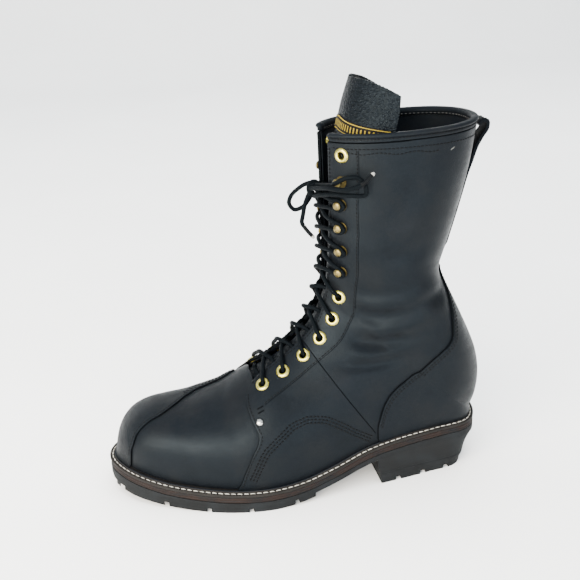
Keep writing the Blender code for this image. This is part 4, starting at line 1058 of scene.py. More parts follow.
def finishes(settings):
    """The boot's materials, made once."""
    if FINISHES:
        return FINISHES
    c = settings.colours
    grain = settings.sizes.grain / MM
    leather = c.leather
    FINISHES.update(
        leather=leather_finish("black_leather", leather, grain, 0.2, scratched=True),
        overlay=leather_finish("overlay_leather", leather, grain, 0.22, (0.36, 0.52), 0.5),
        patch=leather_finish("patch_leather", shade(leather, 1.1), grain, 0.45, (0.40, 0.56), 1.8),
        backstay=leather_finish("backstay_leather", shade(leather, 0.7), grain, 0.14, (0.5, 0.66),
                                gloss=0.04),
        # the bead is lighter than the upper's leather: a painted sheen along the welt's smooth bead
        bead=leather_finish("welt_bead_painted_sheen", shade(leather, 3.0), grain, 0.08, (0.4, 0.5)),
        # the dark cut edge, also painted shade in a band along the panels' raised edges
        edge=leather_finish("cut_edge_and_painted_shade", shade(leather, 0.4), grain, 0.14, (0.6, 0.75), gloss=0.03),
        binding=leather_finish("binding_leather", shade(leather, 1.1), grain * 0.8, 0.14, (0.42, 0.6)),
        lining=leather_finish("lining_leather", shade(leather, 1.8), grain, 0.2, (0.5, 0.65), 0.8),
        tongue=pebbled_finish("tongue_leather", c.tongue),
        thread=thread_finish("seam_thread", c.thread),
        pale_thread=thread_finish("collar_thread", c.pale_thread),
        welt_thread=thread_finish("welt_thread", c.welt_thread),
        welt=edge_finish("welt_leather", c.welt, shade(c.welt, 1.5), 0.3),
        midsole=edge_finish("midsole_edge", c.midsole, shade(c.rubber, 1.4), 0.55),
        rubber=edge_finish("sole_rubber", c.rubber, shade(c.rubber, 1.9), 0.25),
        insole=leather_finish("insole_leather", c.insole, grain, 0.08, (0.6, 0.75)),
        brass=metal_finish("brass", c.brass, shade(c.brass, 0.62), (0.22, 0.38)),
        aged_brass=metal_finish("aged_brass", c.aged_brass, shade(c.aged_brass, 0.45), (0.3, 0.5)),
        # brass darkened as painted shade, for the hook plates under the domes
        dark_brass=metal_finish("dark_brass", shade(c.aged_brass, 0.35), shade(c.aged_brass, 0.2),
                                (0.4, 0.6)),
        nickel=metal_finish("nickel", c.nickel, shade(c.nickel, 0.7), (0.2, 0.35)),
        lace=braid_finish("lace_braid", c.lace),
        aglet=thread_finish("aglet_black", shade(c.lace, 1.5)),
        tip=thread_finish("aglet_tip", c.tip),
        band=band_finish("label_band", shade(c.tongue, 0.35), c.gold),
        floor=floor_finish("pale_floor", c.floor),
    )
    return FINISHES


class BootStep:
    """What every step of the boot shares."""

    bl_options = {"REGISTER"}

    def execute(self, context):
        self.build(context.scene.boot, finishes(context.scene.boot))
        return {"FINISHED"}


# Camera: what it looks at on the boot's axes, how far off, and its turns in degrees.
CAMERA_TARGET = (154.03, 6.94, 162.64)
CAMERA_FAR = 739.2
CAMERA_AZIMUTH, CAMERA_ELEVATION, CAMERA_ROLL = -10.0, 21.5, -2.5
CAMERA_LENS, CAMERA_SENSOR = 55.68, 36.0
LIGHTS = (
    # name, place (m), aims at (m), width, height, watts, colour, mirrored in what shines
    ("window", (-1.09, -1.15, 0.62), (-0.05, 0.0, 0.08), 1.5, 0.95, 150.0, (1.0, 0.92, 0.8), True),
    ("front", (0.35, -1.7, 0.27), (0.02, 0.0, 0.12), 1.6, 0.45, 27.0, (0.95, 0.98, 1.0), True),
    ("top", (0.0, 0.3, 2.3), (0.0, 0.0, 0.1), 3.0, 3.0, 165.0, (1.0, 0.985, 0.96), False),
)
WORLD_LIGHT = (0.45, 2.8)     # at the horizon, overhead
WORLD_COLOUR = (0.86, 0.94, 1.0, 1.0)
# Floor (m): half width, where it starts, where it turns up into the backdrop, and the backdrop's height.
FLOOR_HALF, FLOOR_START, FLOOR_TURN, FLOOR_TOP = 5.0, -4.0, 2.2, 4.0


class BOOT_OT_stage(BootStep, bpy.types.Operator):
    """Floor, soft light and the camera."""

    bl_idname = "boot.stage"
    bl_label = "Stage"

    def build(self, boot, finish):
        self.floor(finish)
        self.lights()
        self.world()
        self.camera()

    def floor(self, finish):
        work = bmesh.new()
        profile = [(FLOOR_START, 0.0), (FLOOR_TURN, 0.0)]
        profile += [(FLOOR_TURN + math.sin(t), 1.0 - math.cos(t)) for t in np.linspace(0.1, math.pi / 2, 14)]
        profile.append((FLOOR_TURN + 1.0, FLOOR_TOP))
        rows = [[work.verts.new((x, y, z)) for x in (-FLOOR_HALF, FLOOR_HALF)] for y, z in profile]
        for low, high in zip(rows, rows[1:]):
            work.faces.new((low[0], low[1], high[1], high[0]))
        mesh = bpy.data.meshes.new("floor")
        work.to_mesh(mesh)
        work.free()
        mesh.shade_smooth()
        mesh.materials.append(finish["floor"])
        floor = bpy.data.objects.new("floor", mesh)
        bpy.context.scene.collection.objects.link(floor)

    def lights(self):
        for name, spot, aim, width, height, watts, colour, mirrored in LIGHTS:
            light = bpy.data.lights.new(name, "AREA")
            light.shape = "RECTANGLE"
            light.size, light.size_y = width, height
            light.energy = watts
            light.color = colour
            lamp = bpy.data.objects.new(name, light)
            lamp.location = spot
            lamp.visible_glossy = mirrored
            lamp.rotation_euler = (Vector(aim) - Vector(spot)).to_track_quat("-Z", "Y").to_euler()
            bpy.context.scene.collection.objects.link(lamp)

    def world(self):
        """A soft room that is darker at the horizon than overhead."""
        world = bpy.data.worlds.new("soft_room")
        world.use_nodes = True
        nodes, links = world.node_tree.nodes, world.node_tree.links
        backdrop = nodes["Background"]
        backdrop.inputs["Color"].default_value = WORLD_COLOUR
        height = nodes.new("ShaderNodeSeparateXYZ")
        links.new(nodes.new("ShaderNodeTexCoord").outputs["Generated"], height.inputs["Vector"])
        rise = nodes.new("ShaderNodeMapRange")
        rise.inputs["From Min"].default_value, rise.inputs["From Max"].default_value = 0.1, 0.9
        rise.inputs["To Min"].default_value, rise.inputs["To Max"].default_value = WORLD_LIGHT
        links.new(height.outputs["Z"], rise.inputs["Value"])
        links.new(rise.outputs["Result"], backdrop.inputs["Strength"])
        bpy.context.scene.world = world

    def camera(self):
        around, rise, roll = (math.radians(v) for v in (CAMERA_AZIMUTH, CAMERA_ELEVATION, CAMERA_ROLL))
        back = Vector((math.sin(around) * math.cos(rise), -math.cos(around) * math.cos(rise), math.sin(rise)))
        right = Vector((math.cos(around), math.sin(around), 0.0))
        up = back.cross(right)
        across = right * math.cos(roll) + up * math.sin(roll)
        upright = up * math.cos(roll) - right * math.sin(roll)
        eye = Vector(place(CAMERA_TARGET)) + back * CAMERA_FAR * MM
        data = bpy.data.cameras.new("camera")
        data.lens, data.sensor_width = CAMERA_LENS, CAMERA_SENSOR
        data.clip_start, data.clip_end = 0.01, 50.0
        camera = bpy.data.objects.new("camera", data)
        turn = Matrix((across, upright, back)).transposed().to_4x4()
        camera.matrix_world = Matrix.Translation(eye) @ turn
        bpy.context.scene.collection.objects.link(camera)
        bpy.context.scene.camera = camera


def hook_leave(side):
    """Where the lace leaves the last laced hook for the knot."""
    _, s, ridge = FASTENINGS[LACED - 1]
    return form.near(s + 0.2, ridge - 6.5, side, QUARTER_STEP + KNOT_THICK / 2 + 1.2)


class BOOT_OT_bow(BootStep, bpy.types.Operator):
    """Knot, two loops and two free ends of the lace."""

    bl_idname = "boot.bow"
    bl_label = "Bow"

    def build(self, boot, finish):
        radius = boot.sizes.lace / MM / 2
        line = even_line([hook_leave(OUTER), *KNOT, hook_leave(INNER)], CORD_STEP)
        wrap = Piece()
        self.wrap(wrap, radius)
        knot_wrap = wrap.make("lace_knot_wrap", [finish["lace"]], "lace")
        self.cord("lace_knot", line, radius, finish, "object", [knot_wrap])
        for name, places in BOW.items():
            line = even_line(places, CORD_STEP)
            if name.startswith("lace_loop"):
                self.cord(name, line, radius, finish, "object", [])
            else:
                aglet = self.aglet(name, line, radius, finish)
                self.cord(name, line, radius, finish, "fitting", [aglet])

    def wrap(self, piece, radius):
        """The turn of cord that holds the bow together."""
        angle = np.linspace(-0.35 * math.pi, 1.75 * math.pi, 40)
        lean = np.linspace(-1.0, 1.0, 40)
        ring = np.column_stack([132.6 + 4.7 * np.cos(angle), 0.6 + 2.0 * lean + 0.8 * np.sin(angle),
                                248.9 + 5.4 * np.sin(angle)])
        tube(piece, even_line(ring[::3], 0.6), radius * 0.95)
        second = np.column_stack([131.9 + 3.6 * np.cos(angle), -2.6 - 1.4 * lean,
                                  248.4 + 4.2 * np.sin(angle)])
        tube(piece, even_line(second[::3], 0.6), radius * 0.9)

    def aglet(self, name, line, radius, finish):
        """The hard sleeve on a free end, with its pale tip."""
        run = run_along(line)
        sleeve = line[run >= run[-1] - AGLET]
        piece = Piece()
        tube(piece, sleeve, radius * 0.92, 16)
        way = unit(line[-1] - line[-4])
        tube(piece, np.array([line[-1] + way * t for t in (0.0, 0.7, 1.4, 2.0)]),
             np.array((0.84, 0.86, 0.8, 0.6)) * radius, 16, 1)
        return piece.make(name + "_aglet", [finish["aglet"], finish["tip"]], "lace")

    def cord(self, name, line, radius, finish, far_end, extras):
        """One length of the lace; a free end is thinner inside its sleeve."""
        piece = Piece()
        run = run_along(line)
        sleeved = (far_end == "fitting") & (run > run[-1] - AGLET)
        tube(piece, line, np.where(sleeved, radius * 0.82, radius))
        made = piece.make(name, [finish["lace"]], "lace", [name])


class BOOT_OT_lacing(BootStep, bpy.types.Operator):
    """The lace's two halves, criss-crossed through the eyelets and round the hooks."""

    bl_idname = "boot.lacing"
    bl_label = "Lacing"

    def build(self, boot, finish):
        radius = boot.sizes.lace / MM / 2
        piece = Piece()
        for first, mid in ((OUTER, (0.6, 4.2)), (INNER, (4.2, 0.6))):
            tube(piece, even_line(self.route(first, mid, radius), 0.9), radius)
        crossings = [f"lace_crossing_{k}" for k in range(1, LACED)]
        piece.make("lacing", [finish["lace"]], "lace", crossings)

    def route(self, first, mid, radius):
        """Places along one half, from under the throat up to the last laced hook."""
        facing = QUARTER_STEP + radius + 0.15
        places = [form.near(10.62, 3.0, first, -3.0), form.near(10.7, 14.0, first, -4.6)]
        laced = FASTENINGS[:LACED]
        for k, (kind, s, ridge) in enumerate(laced):
            side = first if k % 2 == 0 else -first
            if kind == "eyelet":
                places += [form.near(s, ridge - 1.6, side, -5.0), form.near(s, ridge - 0.7, side, -1.6, 0.3),
                           form.near(s, ridge - 1.4, side, QUARTER_STEP + 1.6, 1.2)]
            else:
                low = QUARTER_STEP + radius + 1.2
                turn = ((-6.0, -3.6), (-0.6, -3.4), (3.2, 0.0), (-0.6, 3.4))
                places += [form.near(s, ridge + over, side, low, up) for over, up in turn]
                if k + 1 == len(laced):
                    break
                places.append(form.near(s, ridge - 6.0, side, low, 3.8))
            next_kind, next_s, next_ridge = laced[k + 1]
            step = next_s - s
            rim = s + 0.25 * step
            places.append(form.near(rim, FACING(rim) + 1.0, side, facing + 0.3))
            places.append(form.near(s + 0.5 * step, 0.0, side, mid[k % 2]))
            far = s + 0.74 * step
            if next_kind == "eyelet":
                places += [form.near(far, FACING(far) - 4.5, -side, -1.2),
                           form.near(far + 0.08 * step, FACING(far) + 3.5, -side, -4.4),
                           form.near(next_s - 0.06 * step, next_ridge - 6.5, -side, -4.9)]
            else:
                places.append(form.near(far, FACING(far) + 1.0, -side, facing + 0.3))
        places.append(hook_leave(side))
        return places


HOLE, HOLE_DEEP = 3.7 * MM, 12.0 * MM     # punched for the eyelets: radius and depth


class BOOT_OT_upper(BootStep, bpy.types.Operator):
    """Vamp, two quarters and the lining."""

    bl_idname = "boot.upper"
    bl_label = "Upper"

    def build(self, boot, finish):
        piece = Piece()
        self.vamp(piece)
        for side in SIDES:
            self.quarter(piece, side)
        made = piece.make("upper_leather", [finish["leather"], finish["edge"]], "leather", ["upper"], 50.0)
        self.pierce(made)
        lining = Piece()
        for side in SIDES:
            self.lining(lining, side)
        inside = lining.make("upper_lining", [finish["lining"]], "leather", ["upper"], 50.0)
        self.pierce(inside)

    def vamp(self, piece):
        c = np.concatenate([np.linspace(-1.0, -0.9, 6), np.linspace(-0.88, 0.88, 110),
                            np.linspace(0.9, 1.0, 6)])
        t = np.concatenate([np.linspace(0.0, 0.2, 16)[:-1], np.linspace(0.2, 1.0, 64)])
        end = VAMP_SEAM(np.abs(c)) + 0.42
        s = np.maximum(t[:, None] * end[None, :], 0.02)
        lift = np.where(s > end[None, :] - 0.5, -0.25, 0.0)
        shell(piece, [(s, c[None, :], lift, lift - 1.9)])

    def quarter(self, piece, side):
        w = spread(74)
        t = spread(132, (0.001, 0.0025, 0.005, 0.009))
        start = QUARTER_SEAM(w)
        s = start[None, :] + t[:, None] * (COLLAR_ROW - start[None, :])
        length = form.half(s, side)
        c = side * (1.0 - w[None, :] * (1.0 - FACING(s) / length))
        past = np.clip((s - start[None, :] - 0.5) / 0.35, 0.0, 1.0)
        deep = 0.05 - 1.1 * past
        shell(piece, [(s, c, QUARTER_STEP, deep)], 0.8, PANEL_EDGE_SHADE_BAND)

    def lining(self, piece, side):
        w = np.linspace(0.0, 1.0, 40)
        s = np.concatenate([np.linspace(0.5, 9.4, 40), np.linspace(9.5, COLLAR_ROW, 90)])[:, None]
        gap = FACING(s) * np.clip((s - 9.5) / 0.9, 0.0, 1.0) + 0.4
        c = side * (1.0 - w[None, :] * (1.0 - gap / form.half(s, side)))
        shell(piece, [(s + 0 * c, c, -1.95, -WALL - 0.05)], 0.2)

    def pierce(self, made):
        """Cut the eyelets' holes."""
        work = bmesh.new()
        for s, ridge in [row[1:] for row in FASTENINGS if row[0] == "eyelet"]:
            for side in SIDES:
                spot, out = form.at(s, side * ridge / form.half(s, side))
                stand = Vector((-out[0], out[1], out[2])).to_track_quat("Z", "Y").to_matrix().to_4x4()
                bmesh.ops.create_cone(work, cap_ends=True, segments=24, radius1=HOLE, radius2=HOLE,
                                      depth=HOLE_DEEP, matrix=Matrix.Translation(Vector(place(spot))) @ stand)
        mesh = bpy.data.meshes.new("punch")
        work.to_mesh(mesh)
        work.free()
        punch = bpy.data.objects.new("punch", mesh)
        bpy.context.scene.collection.objects.link(punch)
        cut = made.modifiers.new("eyelet holes", "BOOLEAN")
        cut.object, cut.operation, cut.solver = punch, "DIFFERENCE", "EXACT"
        bpy.context.view_layer.update()
        done = bpy.data.meshes.new_from_object(made.evaluated_get(bpy.context.evaluated_depsgraph_get()))
        made.modifiers.remove(cut)
        made.data = done
        bpy.data.objects.remove(punch)
        done.set_sharp_from_angle(angle=math.radians(50.0))


class BOOT_OT_overlays(BootStep, bpy.types.Operator):
    """Heel counter, backstay and toe patch."""

    bl_idname = "boot.overlays"
    bl_label = "Overlays"

    def build(self, boot, finish):
        under = QUARTER_STEP + 0.05
        counter = Piece()
        w = spread(34)
        legs = np.concatenate([[13.97, 13.99, 14.02, 14.06], np.linspace(14.1, HEEL_BACK, 60)])[:, None]
        top = np.concatenate([np.linspace(HEEL_BACK, 25.9, 80), [25.95, 25.98, 26.0]])[:, None]
        grids = []
        for side in SIDES:
            for rows in (legs, top):
                share = 1.0 - COUNTER_EDGE[side](rows) / form.half(rows, side)
                grids.append((rows, side * (1.0 - w[None, :] * share), QUARTER_STEP + COUNTER_THICK, under))
        shell(counter, grids, 1.0, OVERLAY_EDGE_SHADE_BAND)
        counter.make("counter_leather", [finish["overlay"], finish["edge"]], "leather", ["counter"], 50.0)
        backstay = Piece()
        rows = np.concatenate([[26.02, 26.04, 26.08], np.linspace(26.15, COLLAR_ROW, 60)])[:, None]
        w = spread(10, (0.015, 0.04, 0.08))
        grids = [(rows, side * (1.0 - w[None, :] * BACKSTAY_HALF / form.half(rows, side)),
                  QUARTER_STEP + BACKSTAY_THICK, under) for side in SIDES]
        shell(backstay, grids, 1.0, PANEL_EDGE_SHADE_BAND)
        backstay.make("backstay_leather", [finish["backstay"], finish["edge"]], "leather", ["backstay"], 50.0)
        patch = Piece()
        rows = np.concatenate([[0.3, 0.33, 0.37], np.linspace(0.42, 2.85, 26), np.linspace(2.9, 3.9, 34),
                               np.linspace(3.95, 9.5, 60), [9.52, 9.54, PATCH_END]])[:, None]
        left = np.where(rows < 2.9, -PATCH_SIDE, PATCH_EDGE(rows))
        c = left + spread(60) * (PATCH_SIDE - left)
        s = np.where(c > 0, rows * np.minimum(1.0, (VAMP_SEAM(np.abs(c)) - 0.1) / PATCH_END), rows)
        shell(patch, [(s, c, PATCH_THICK, 0.04)], 1.0, OVERLAY_EDGE_SHADE_BAND)
        patch.make("toe_patch_leather", [finish["patch"], finish["edge"]], "leather", ["toe_patch"], 50.0)


# Seams of the outer side, mirrored on the inner side: places of (section, share up the half section).
TRIPLE_SEAM = ((9.38, .092), (10.13, .282), (10.59, .338), (11.14, .385), (11.68, .426), (12.15, .431),
               (12.55, .420), (13.10, .356), (13.465, .244), (13.60, .185), (13.78, .120), (13.92, .068))
# Section and distance from the ridge.
EYESTAY_SEAM = ((10.72, 45.0), (11.6, 41.6), (12.93, 38.0), (15.35, 40.0), (17.9, 41.0), (21.6, 40.6),
                (25.6, 43.0), (28.8, 42.7), (31.2, 43.6))
BAR_TACK = (10.30, 10.62, 46.4, 3.4)     # sections it runs between, distance from the ridge, gap
DIAGONAL_SEAM = 14.05    # its section


class BOOT_OT_stitching(BootStep, bpy.types.Operator):
    """Every sewn line of the upper, as rows of real stitches."""

    bl_idname = "boot.stitching"
    bl_label = "Stitching"

    def build(self, boot, finish):
        self.pitch = boot.sizes.upper_pitch / MM
        self.long = boot.sizes.upper_stitch / MM
        self.thick = boot.sizes.upper_thread / MM
        self.piece = Piece()
        for side in SIDES:
            self.quarter(side)
            self.counter(side)
            self.collar(side)
        self.patch()
        self.piece.make("upper_stitching", [finish["thread"], finish["edge"]], "leather", weld=False)

    def groove(self, places, lift, offset=0.0):
        """A thin dark line, half sunk, where two layers meet."""
        line, _ = seam(places, offset, lift)
        tube(self.piece, line, 0.5, 6, 1)

    def row(self, places, lift, offset=0.0, thick=1.0):
        line, normals = seam(places, offset, lift)
        stitches(self.piece, line, normals, self.pitch, self.long, self.thick * thick)

    def quarter(self, side):
        facing = QUARTER_STEP + THREAD_LIFT
        across = [(s, side * (1.0 - a)) for s, a in TRIPLE_SEAM]
        for offset in (0.0, -2.6, -5.2):
            self.row(across, facing, offset * side, 1.45)
        eyestay = [(s, side * r / form.half(s, side)) for s, r in EYESTAY_SEAM]
        self.row(eyestay, facing)
        self.groove(eyestay, facing - 0.45, -1.3 * side)
        # Beside the quarter's front edge and the facing's edge.
        w = np.linspace(0.03, 0.93, 14)
        reach = 1.0 - FACING(9.9) / form.half(9.9, side)
        self.row([(QUARTER_SEAM(v) + 0.16, side * (1.0 - v * reach)) for v in w], facing)
        edge = np.linspace(10.3, 31.3, 26)
        self.row([(s, side * (FACING(s) + 2.4) / form.half(s, side)) for s in edge], facing)
        share = np.linspace(17.5 / form.half(DIAGONAL_SEAM, side), 0.915, 16)
        self.groove([(DIAGONAL_SEAM, side * v) for v in share], facing - 0.22)
        low, high, ridge, gap = BAR_TACK
        for apart in (0.0, gap):
            bar = [(s, side * (ridge + apart) / form.half(s, side)) for s in np.linspace(low, high, 5)]
            line, normals = seam(bar, 0.0, facing)
            tube(self.piece, line, self.thick * 1.4, 8, 1)
            stitches(self.piece, line, normals, 0.9, 1.3, self.thick, 0.9)

    def counter(self, side):
        lift = QUARTER_STEP + COUNTER_THICK + 0.05
        s = np.linspace(14.3, 25.6, 30)
        for inset in (2.4, 4.6):
            reach = (COUNTER_EDGE[side](s) + inset) / form.half(s, side)
            self.row(np.column_stack([s, side * np.minimum(reach, 0.985)]), lift)
        up = np.linspace(26.3, 31.4, 12)
        self.row([(v, side * (1.0 - 6.2 / form.half(v, side))) for v in up],
                 QUARTER_STEP + BACKSTAY_THICK + 0.05)

    def collar(self, side):
        facing = QUARTER_STEP + THREAD_LIFT
        c = np.linspace(FACING(31.3) / form.half(31.3, side) + 0.03, 0.9, 16)
        self.row([(31.28, side * v) for v in c], facing)
        wavy = np.linspace(FACING(31.0) / form.half(31.0, side) + 0.05, 0.62, 16)
        self.row([(31.0 + 0.05 * math.sin(40 * v), side * v) for v in wavy], facing)

    def patch(self):
        s = np.concatenate([np.linspace(3.2, 4.0, 10), np.linspace(4.2, 9.3, 22)])
        back = np.linspace(6.9, 9.3, 12)
        for rows, offset in ((s, -2.2), (back, -4.6), (back, -7.0)):
            self.row([(v, PATCH_EDGE(v)) for v in rows], PATCH_THICK, offset)


BINDING = 6.4           # width of the rolled edge
LOOP_WIDE, LOOP_THICK = 15.0, 3.2
# The strap of the pull loop from its foot on the back, up and over: forward, up.
LOOP_PATH = ((26.2, 190.5), (22.8, 202.0), (18.7, 215.5), (14.9, 228.5), (11.4, 241.0), (8.2, 252.5),
             (4.4, 264.0), (1.2, 273.0), (-3.3, 281.0), (-7.4, 287.5), (-7.2, 292.2), (-4.0, 293.2),
             (0.3, 290.2))
# Cross sections in halves of width and thickness: outward, up; and across, out.
BINDING_PROFILE = (
    (0.50, -0.98), (0.55, -0.92), (0.58, -0.20), (0.50, -0.12), (0.56, -0.02), (0.80, 0.06), (0.96, 0.24),
    (1.0, 0.46), (0.92, 0.70), (0.72, 0.89), (0.40, 0.98), (0.0, 1.0), (-0.36, 0.95), (-0.68, 0.76),
    (-0.9, 0.42), (-0.99, 0.0), (-1.0, -0.3), (-0.93, -0.4), (-1.0, -0.48), (-0.97, -0.8), (-0.8, -0.98),
    (0.0, -1.0),
)
LOOP_PROFILE = (
    (-1.0, 0.35), (-0.95, 0.8), (-0.86, 1.0), (-0.5, 0.96), (0.0, 0.94), (0.5, 0.96), (0.86, 1.0),
    (0.95, 0.8), (1.0, 0.35), (1.0, -0.35), (0.95, -0.85), (0.86, -1.0), (0.0, -1.0), (-0.86, -1.0),
    (-0.95, -0.85), (-1.0, -0.35),
)


class BOOT_OT_collar(BootStep, bpy.types.Operator):
    """Rolled binding round the collar, and the pull loop."""

    bl_idname = "boot.collar"
    bl_label = "Collar"

    def build(self, boot, finish):
        sizes = boot.sizes
        path = []
        for side, order in ((OUTER, 1), (INNER, -1)):
            share = np.linspace(FACING(COLLAR_ROW) / form.half(COLLAR_ROW, side), 1.0, 40)[::order]
            points, normals = form.at(COLLAR_ROW, side * share)
            line = points - normals * 0.5
            path.append(line if order == 1 else line[1:])
        line = even_line(np.vstack(path)[::2], 1.6)
        line[:, 2] += BINDING / 2 + SEAT
        outward = unit(line - line.mean(axis=0) * (1, 1, 0) - line * (0, 0, 1))
        binding = Piece()
        self.binding(binding, line, outward)
        binding.make("collar_binding_leather", [finish["binding"]], "leather", ["collar_binding"], 60.0)
        thread = Piece()
        low = line + outward * BINDING / 2 * 0.56 - np.array((0.0, 0.0, 1.1))
        stitches(thread, low[3:-3], outward[3:-3], 2.6, 2.0, sizes.upper_thread / MM * 1.1)
        inside = line - outward * (BINDING / 2 - 0.35) - np.array((0.0, 0.0, 1.7))
        stitches(thread, inside[3:-3], -outward[3:-3], 3.4, 2.6, sizes.upper_thread / MM * 1.3, 0.0, 1)
        loop = Piece()
        self.loop(loop, thread, sizes)
        loop.make("pull_loop_leather", [finish["backstay"]], "leather", ["pull_loop"], 40.0)
        thread.make("collar_stitching", [finish["thread"], finish["pale_thread"]], "leather", weld=False)

    def binding(self, piece, line, outward):
        """A rolled edge: a round bead over a flat strip that is sewn down, and a lip inside."""
        half = np.full(len(line), BINDING / 2)
        half[[0, -1]] *= 0.55
        half[[1, -2]] *= 0.88
        rings = []
        for k, (at, out) in enumerate(zip(line, outward)):
            ripple = 1.0 + 0.015 * math.sin(k * 1.9) + 0.01 * math.sin(k * 0.7)
            rings.append([at + out * x * half[k] * ripple + np.array((0, 0, z * half[k]))
                          for x, z in BINDING_PROFILE])
        skin(piece, rings)

    def loop(self, piece, thread, sizes):
        """The strap, thin where it lies on the backstay, with a seam along both edges."""
        path = smooth_line([(u, 0.0, z) for u, z in LOOP_PATH], 110)
        taper = np.clip((path[:, 2] - LOOP_PATH[0][1]) / 7.0, 0.25, 1.0)
        taper = np.minimum(taper, np.interp(path[:, 2], (245.0, 262.0), (0.75, 1.0)))
        along = unit(np.gradient(path, axis=0))
        out = np.column_stack([-along[:, 2], 0 * along[:, 0], along[:, 0]])
        half, thick = LOOP_WIDE / 2, LOOP_THICK / 2
        skin(piece, [[p + np.array((0.0, y * half * (0.8 + 0.2 * t), 0.0)) + n * z * thick * t
                      for y, z in LOOP_PROFILE] for p, n, t in zip(path, out, taper)])
        for y in (-5.2, 5.2):
            for way in (1.0, -1.0):
                line = path + np.array((0.0, y, 0.0)) + out * (thick * way * taper)[:, None]
                stitches(thread, line[2:-2], out[2:-2] * way, 2.6, 1.9, sizes.upper_thread / MM)


LABEL_ROWS = (32.10, 32.70)
LABEL_SLOPE = 0.62      # how far the band drops towards the tongue's sides
LABEL_HALF = 74.0       # half width over which its bars are spread
TONGUE_HALF, TOOTH_PITCH = 76.0, 3.2     # half width at the top, and the pinked teeth along it


class BOOT_OT_tongue(BootStep, bpy.types.Operator):
    """The tongue under the throat and the woven band sewn across it."""

    bl_idname = "boot.tongue"
    bl_label = "Tongue"

    def build(self, boot, finish):
        share = np.concatenate([np.linspace(-1.0, -0.96, 4)[:-1], np.linspace(-0.96, 0.96, 86),
                                np.linspace(0.96, 1.0, 4)[1:]])
        rise = np.concatenate([np.linspace(0.0, 0.97, 120), np.linspace(0.975, 1.0, 8)])
        teeth = boot.sizes.pinking / MM
        outer, normals, places = self.sheet(share, rise, teeth)
        piece = Piece()
        slab(piece, outer, outer - normals * TONGUE_THICK, places)
        piece.make("tongue_leather", [finish["tongue"]], "grained_leather", ["tongue"], 50.0)
        self.label(finish)

    def sheet(self, share, rise, teeth, rows=None):
        """The tongue's outside: points, directions and texture places over shares across and up."""
        first, last, drop = TONGUE_ENDS
        if rows is None:
            rows = first + rise[:, None] * (last - drop * np.abs(share[None, :]) ** 3 - first)
        width, deep = np.moveaxis(TONGUE(rows), -1, 0)
        deep = deep + 0.9 * np.exp(-((rows - 15.0) / 5.0) ** 4)
        side = np.where(share < 0, OUTER, INNER)[None, :]
        length = np.where(side < 0, form.half(rows, OUTER), form.half(rows, INNER))
        c = share[None, :] * width / length
        lean = np.clip(deep - 4.8, 0.0, None) * np.abs(share[None, :]) ** 2 * TONGUE_CURL
        points, normals = form._pick(form.points, rows, c), unit(form._pick(form.normals, rows, c))
        middle = np.abs(share) < 0.02
        normals[:, middle] = unit(normals[:, middle] * (1.0, 0.0, 1.0))
        points = points - normals * (deep - lean)[..., None]
        # Pinked teeth along the top, and a slow wave of the hide.
        tooth = np.abs((share * TONGUE_HALF / TOOTH_PITCH) % 1.0 - 0.5) * 2.0 - 0.5
        near_top = np.clip((rise - 0.985) / 0.015, 0.0, 1.0)
        points[..., 2] += near_top[:, None] * tooth[None, :] * teeth
        wave = 0.5 * np.sin(rows * 1.7 + share[None, :] * 5.0) * np.clip((rows - 29.0) / 3.0, 0.0, 1.0)
        points = points + normals * wave[..., None]
        places = np.column_stack([(c * length).ravel(), (points[..., 2]).ravel()])
        return points, normals, places

    def label(self, finish):
        """The woven band, a thin sheet that lies on the tongue."""
        share = np.linspace(-0.95, 0.95, 90)
        rows = np.linspace(*LABEL_ROWS, 10)[:, None] - LABEL_SLOPE * np.abs(share[None, :]) ** 1.3
        rise = np.zeros(len(rows))
        points, normals, _ = self.sheet(share, rise, 0.0, rows)
        edge = np.minimum(np.arange(len(rows)), np.arange(len(rows))[::-1])[:, None, None]
        outer = points + normals * np.where(edge == 0, 0.25, 0.75)
        up = np.linspace(0.0, 1.0, len(rows))[:, None] + 0 * share[None, :]
        places = np.column_stack([np.broadcast_to(share * LABEL_HALF, rows.shape).ravel(), up.ravel()])
        piece = Piece()
        slab(piece, outer, points + normals * 0.02, places)
        piece.make("tongue_label", [finish["band"]], "grained_leather")


# Turned parts, as profiles of radius and height over the leather.
EYELET_PROFILE = (
    (2.7, -3.6), (2.7, 0.2), (2.78, 0.9), (3.1, 1.3), (3.6, 1.5), (4.2, 1.48), (4.8, 1.25), (5.3, 0.9),
    (5.65, 0.5), (5.8, 0.15), (5.7, 0.0), (3.3, 0.0), (3.3, -3.6), (2.7, -3.6),
)
EYELET_BACK = ((3.3, -2.6), (3.3, -3.4), (3.9, -3.75), (4.7, -3.6), (5.0, -3.1), (4.4, -2.95), (3.3, -2.6))
PLATE_PROFILE = ((0.0, 0.0), (4.5, 0.0), (4.7, 0.25), (4.6, 0.65), (4.1, 0.85), (3.4, 0.8), (2.6, 0.95),
                 (1.7, 1.4), (1.45, 2.2), (1.45, 4.2), (0.0, 4.2))
DOME_PROFILE = ((0.0, 3.7), (1.6, 3.8), (2.7, 4.1), (3.25, 4.5), (3.4, 4.95), (3.25, 5.4), (2.8, 5.85),
                (2.0, 6.2), (1.0, 6.42), (0.0, 6.5))
RIVET_PROFILE = ((0.0, 0.05), (2.6, 0.05), (2.75, 0.4), (2.6, 0.85), (2.15, 1.25), (1.4, 1.55), (0.6, 1.68),
                 (0.0, 1.7))
DOME_SHIFT = 1.3        # the hook's dome leans towards the throat


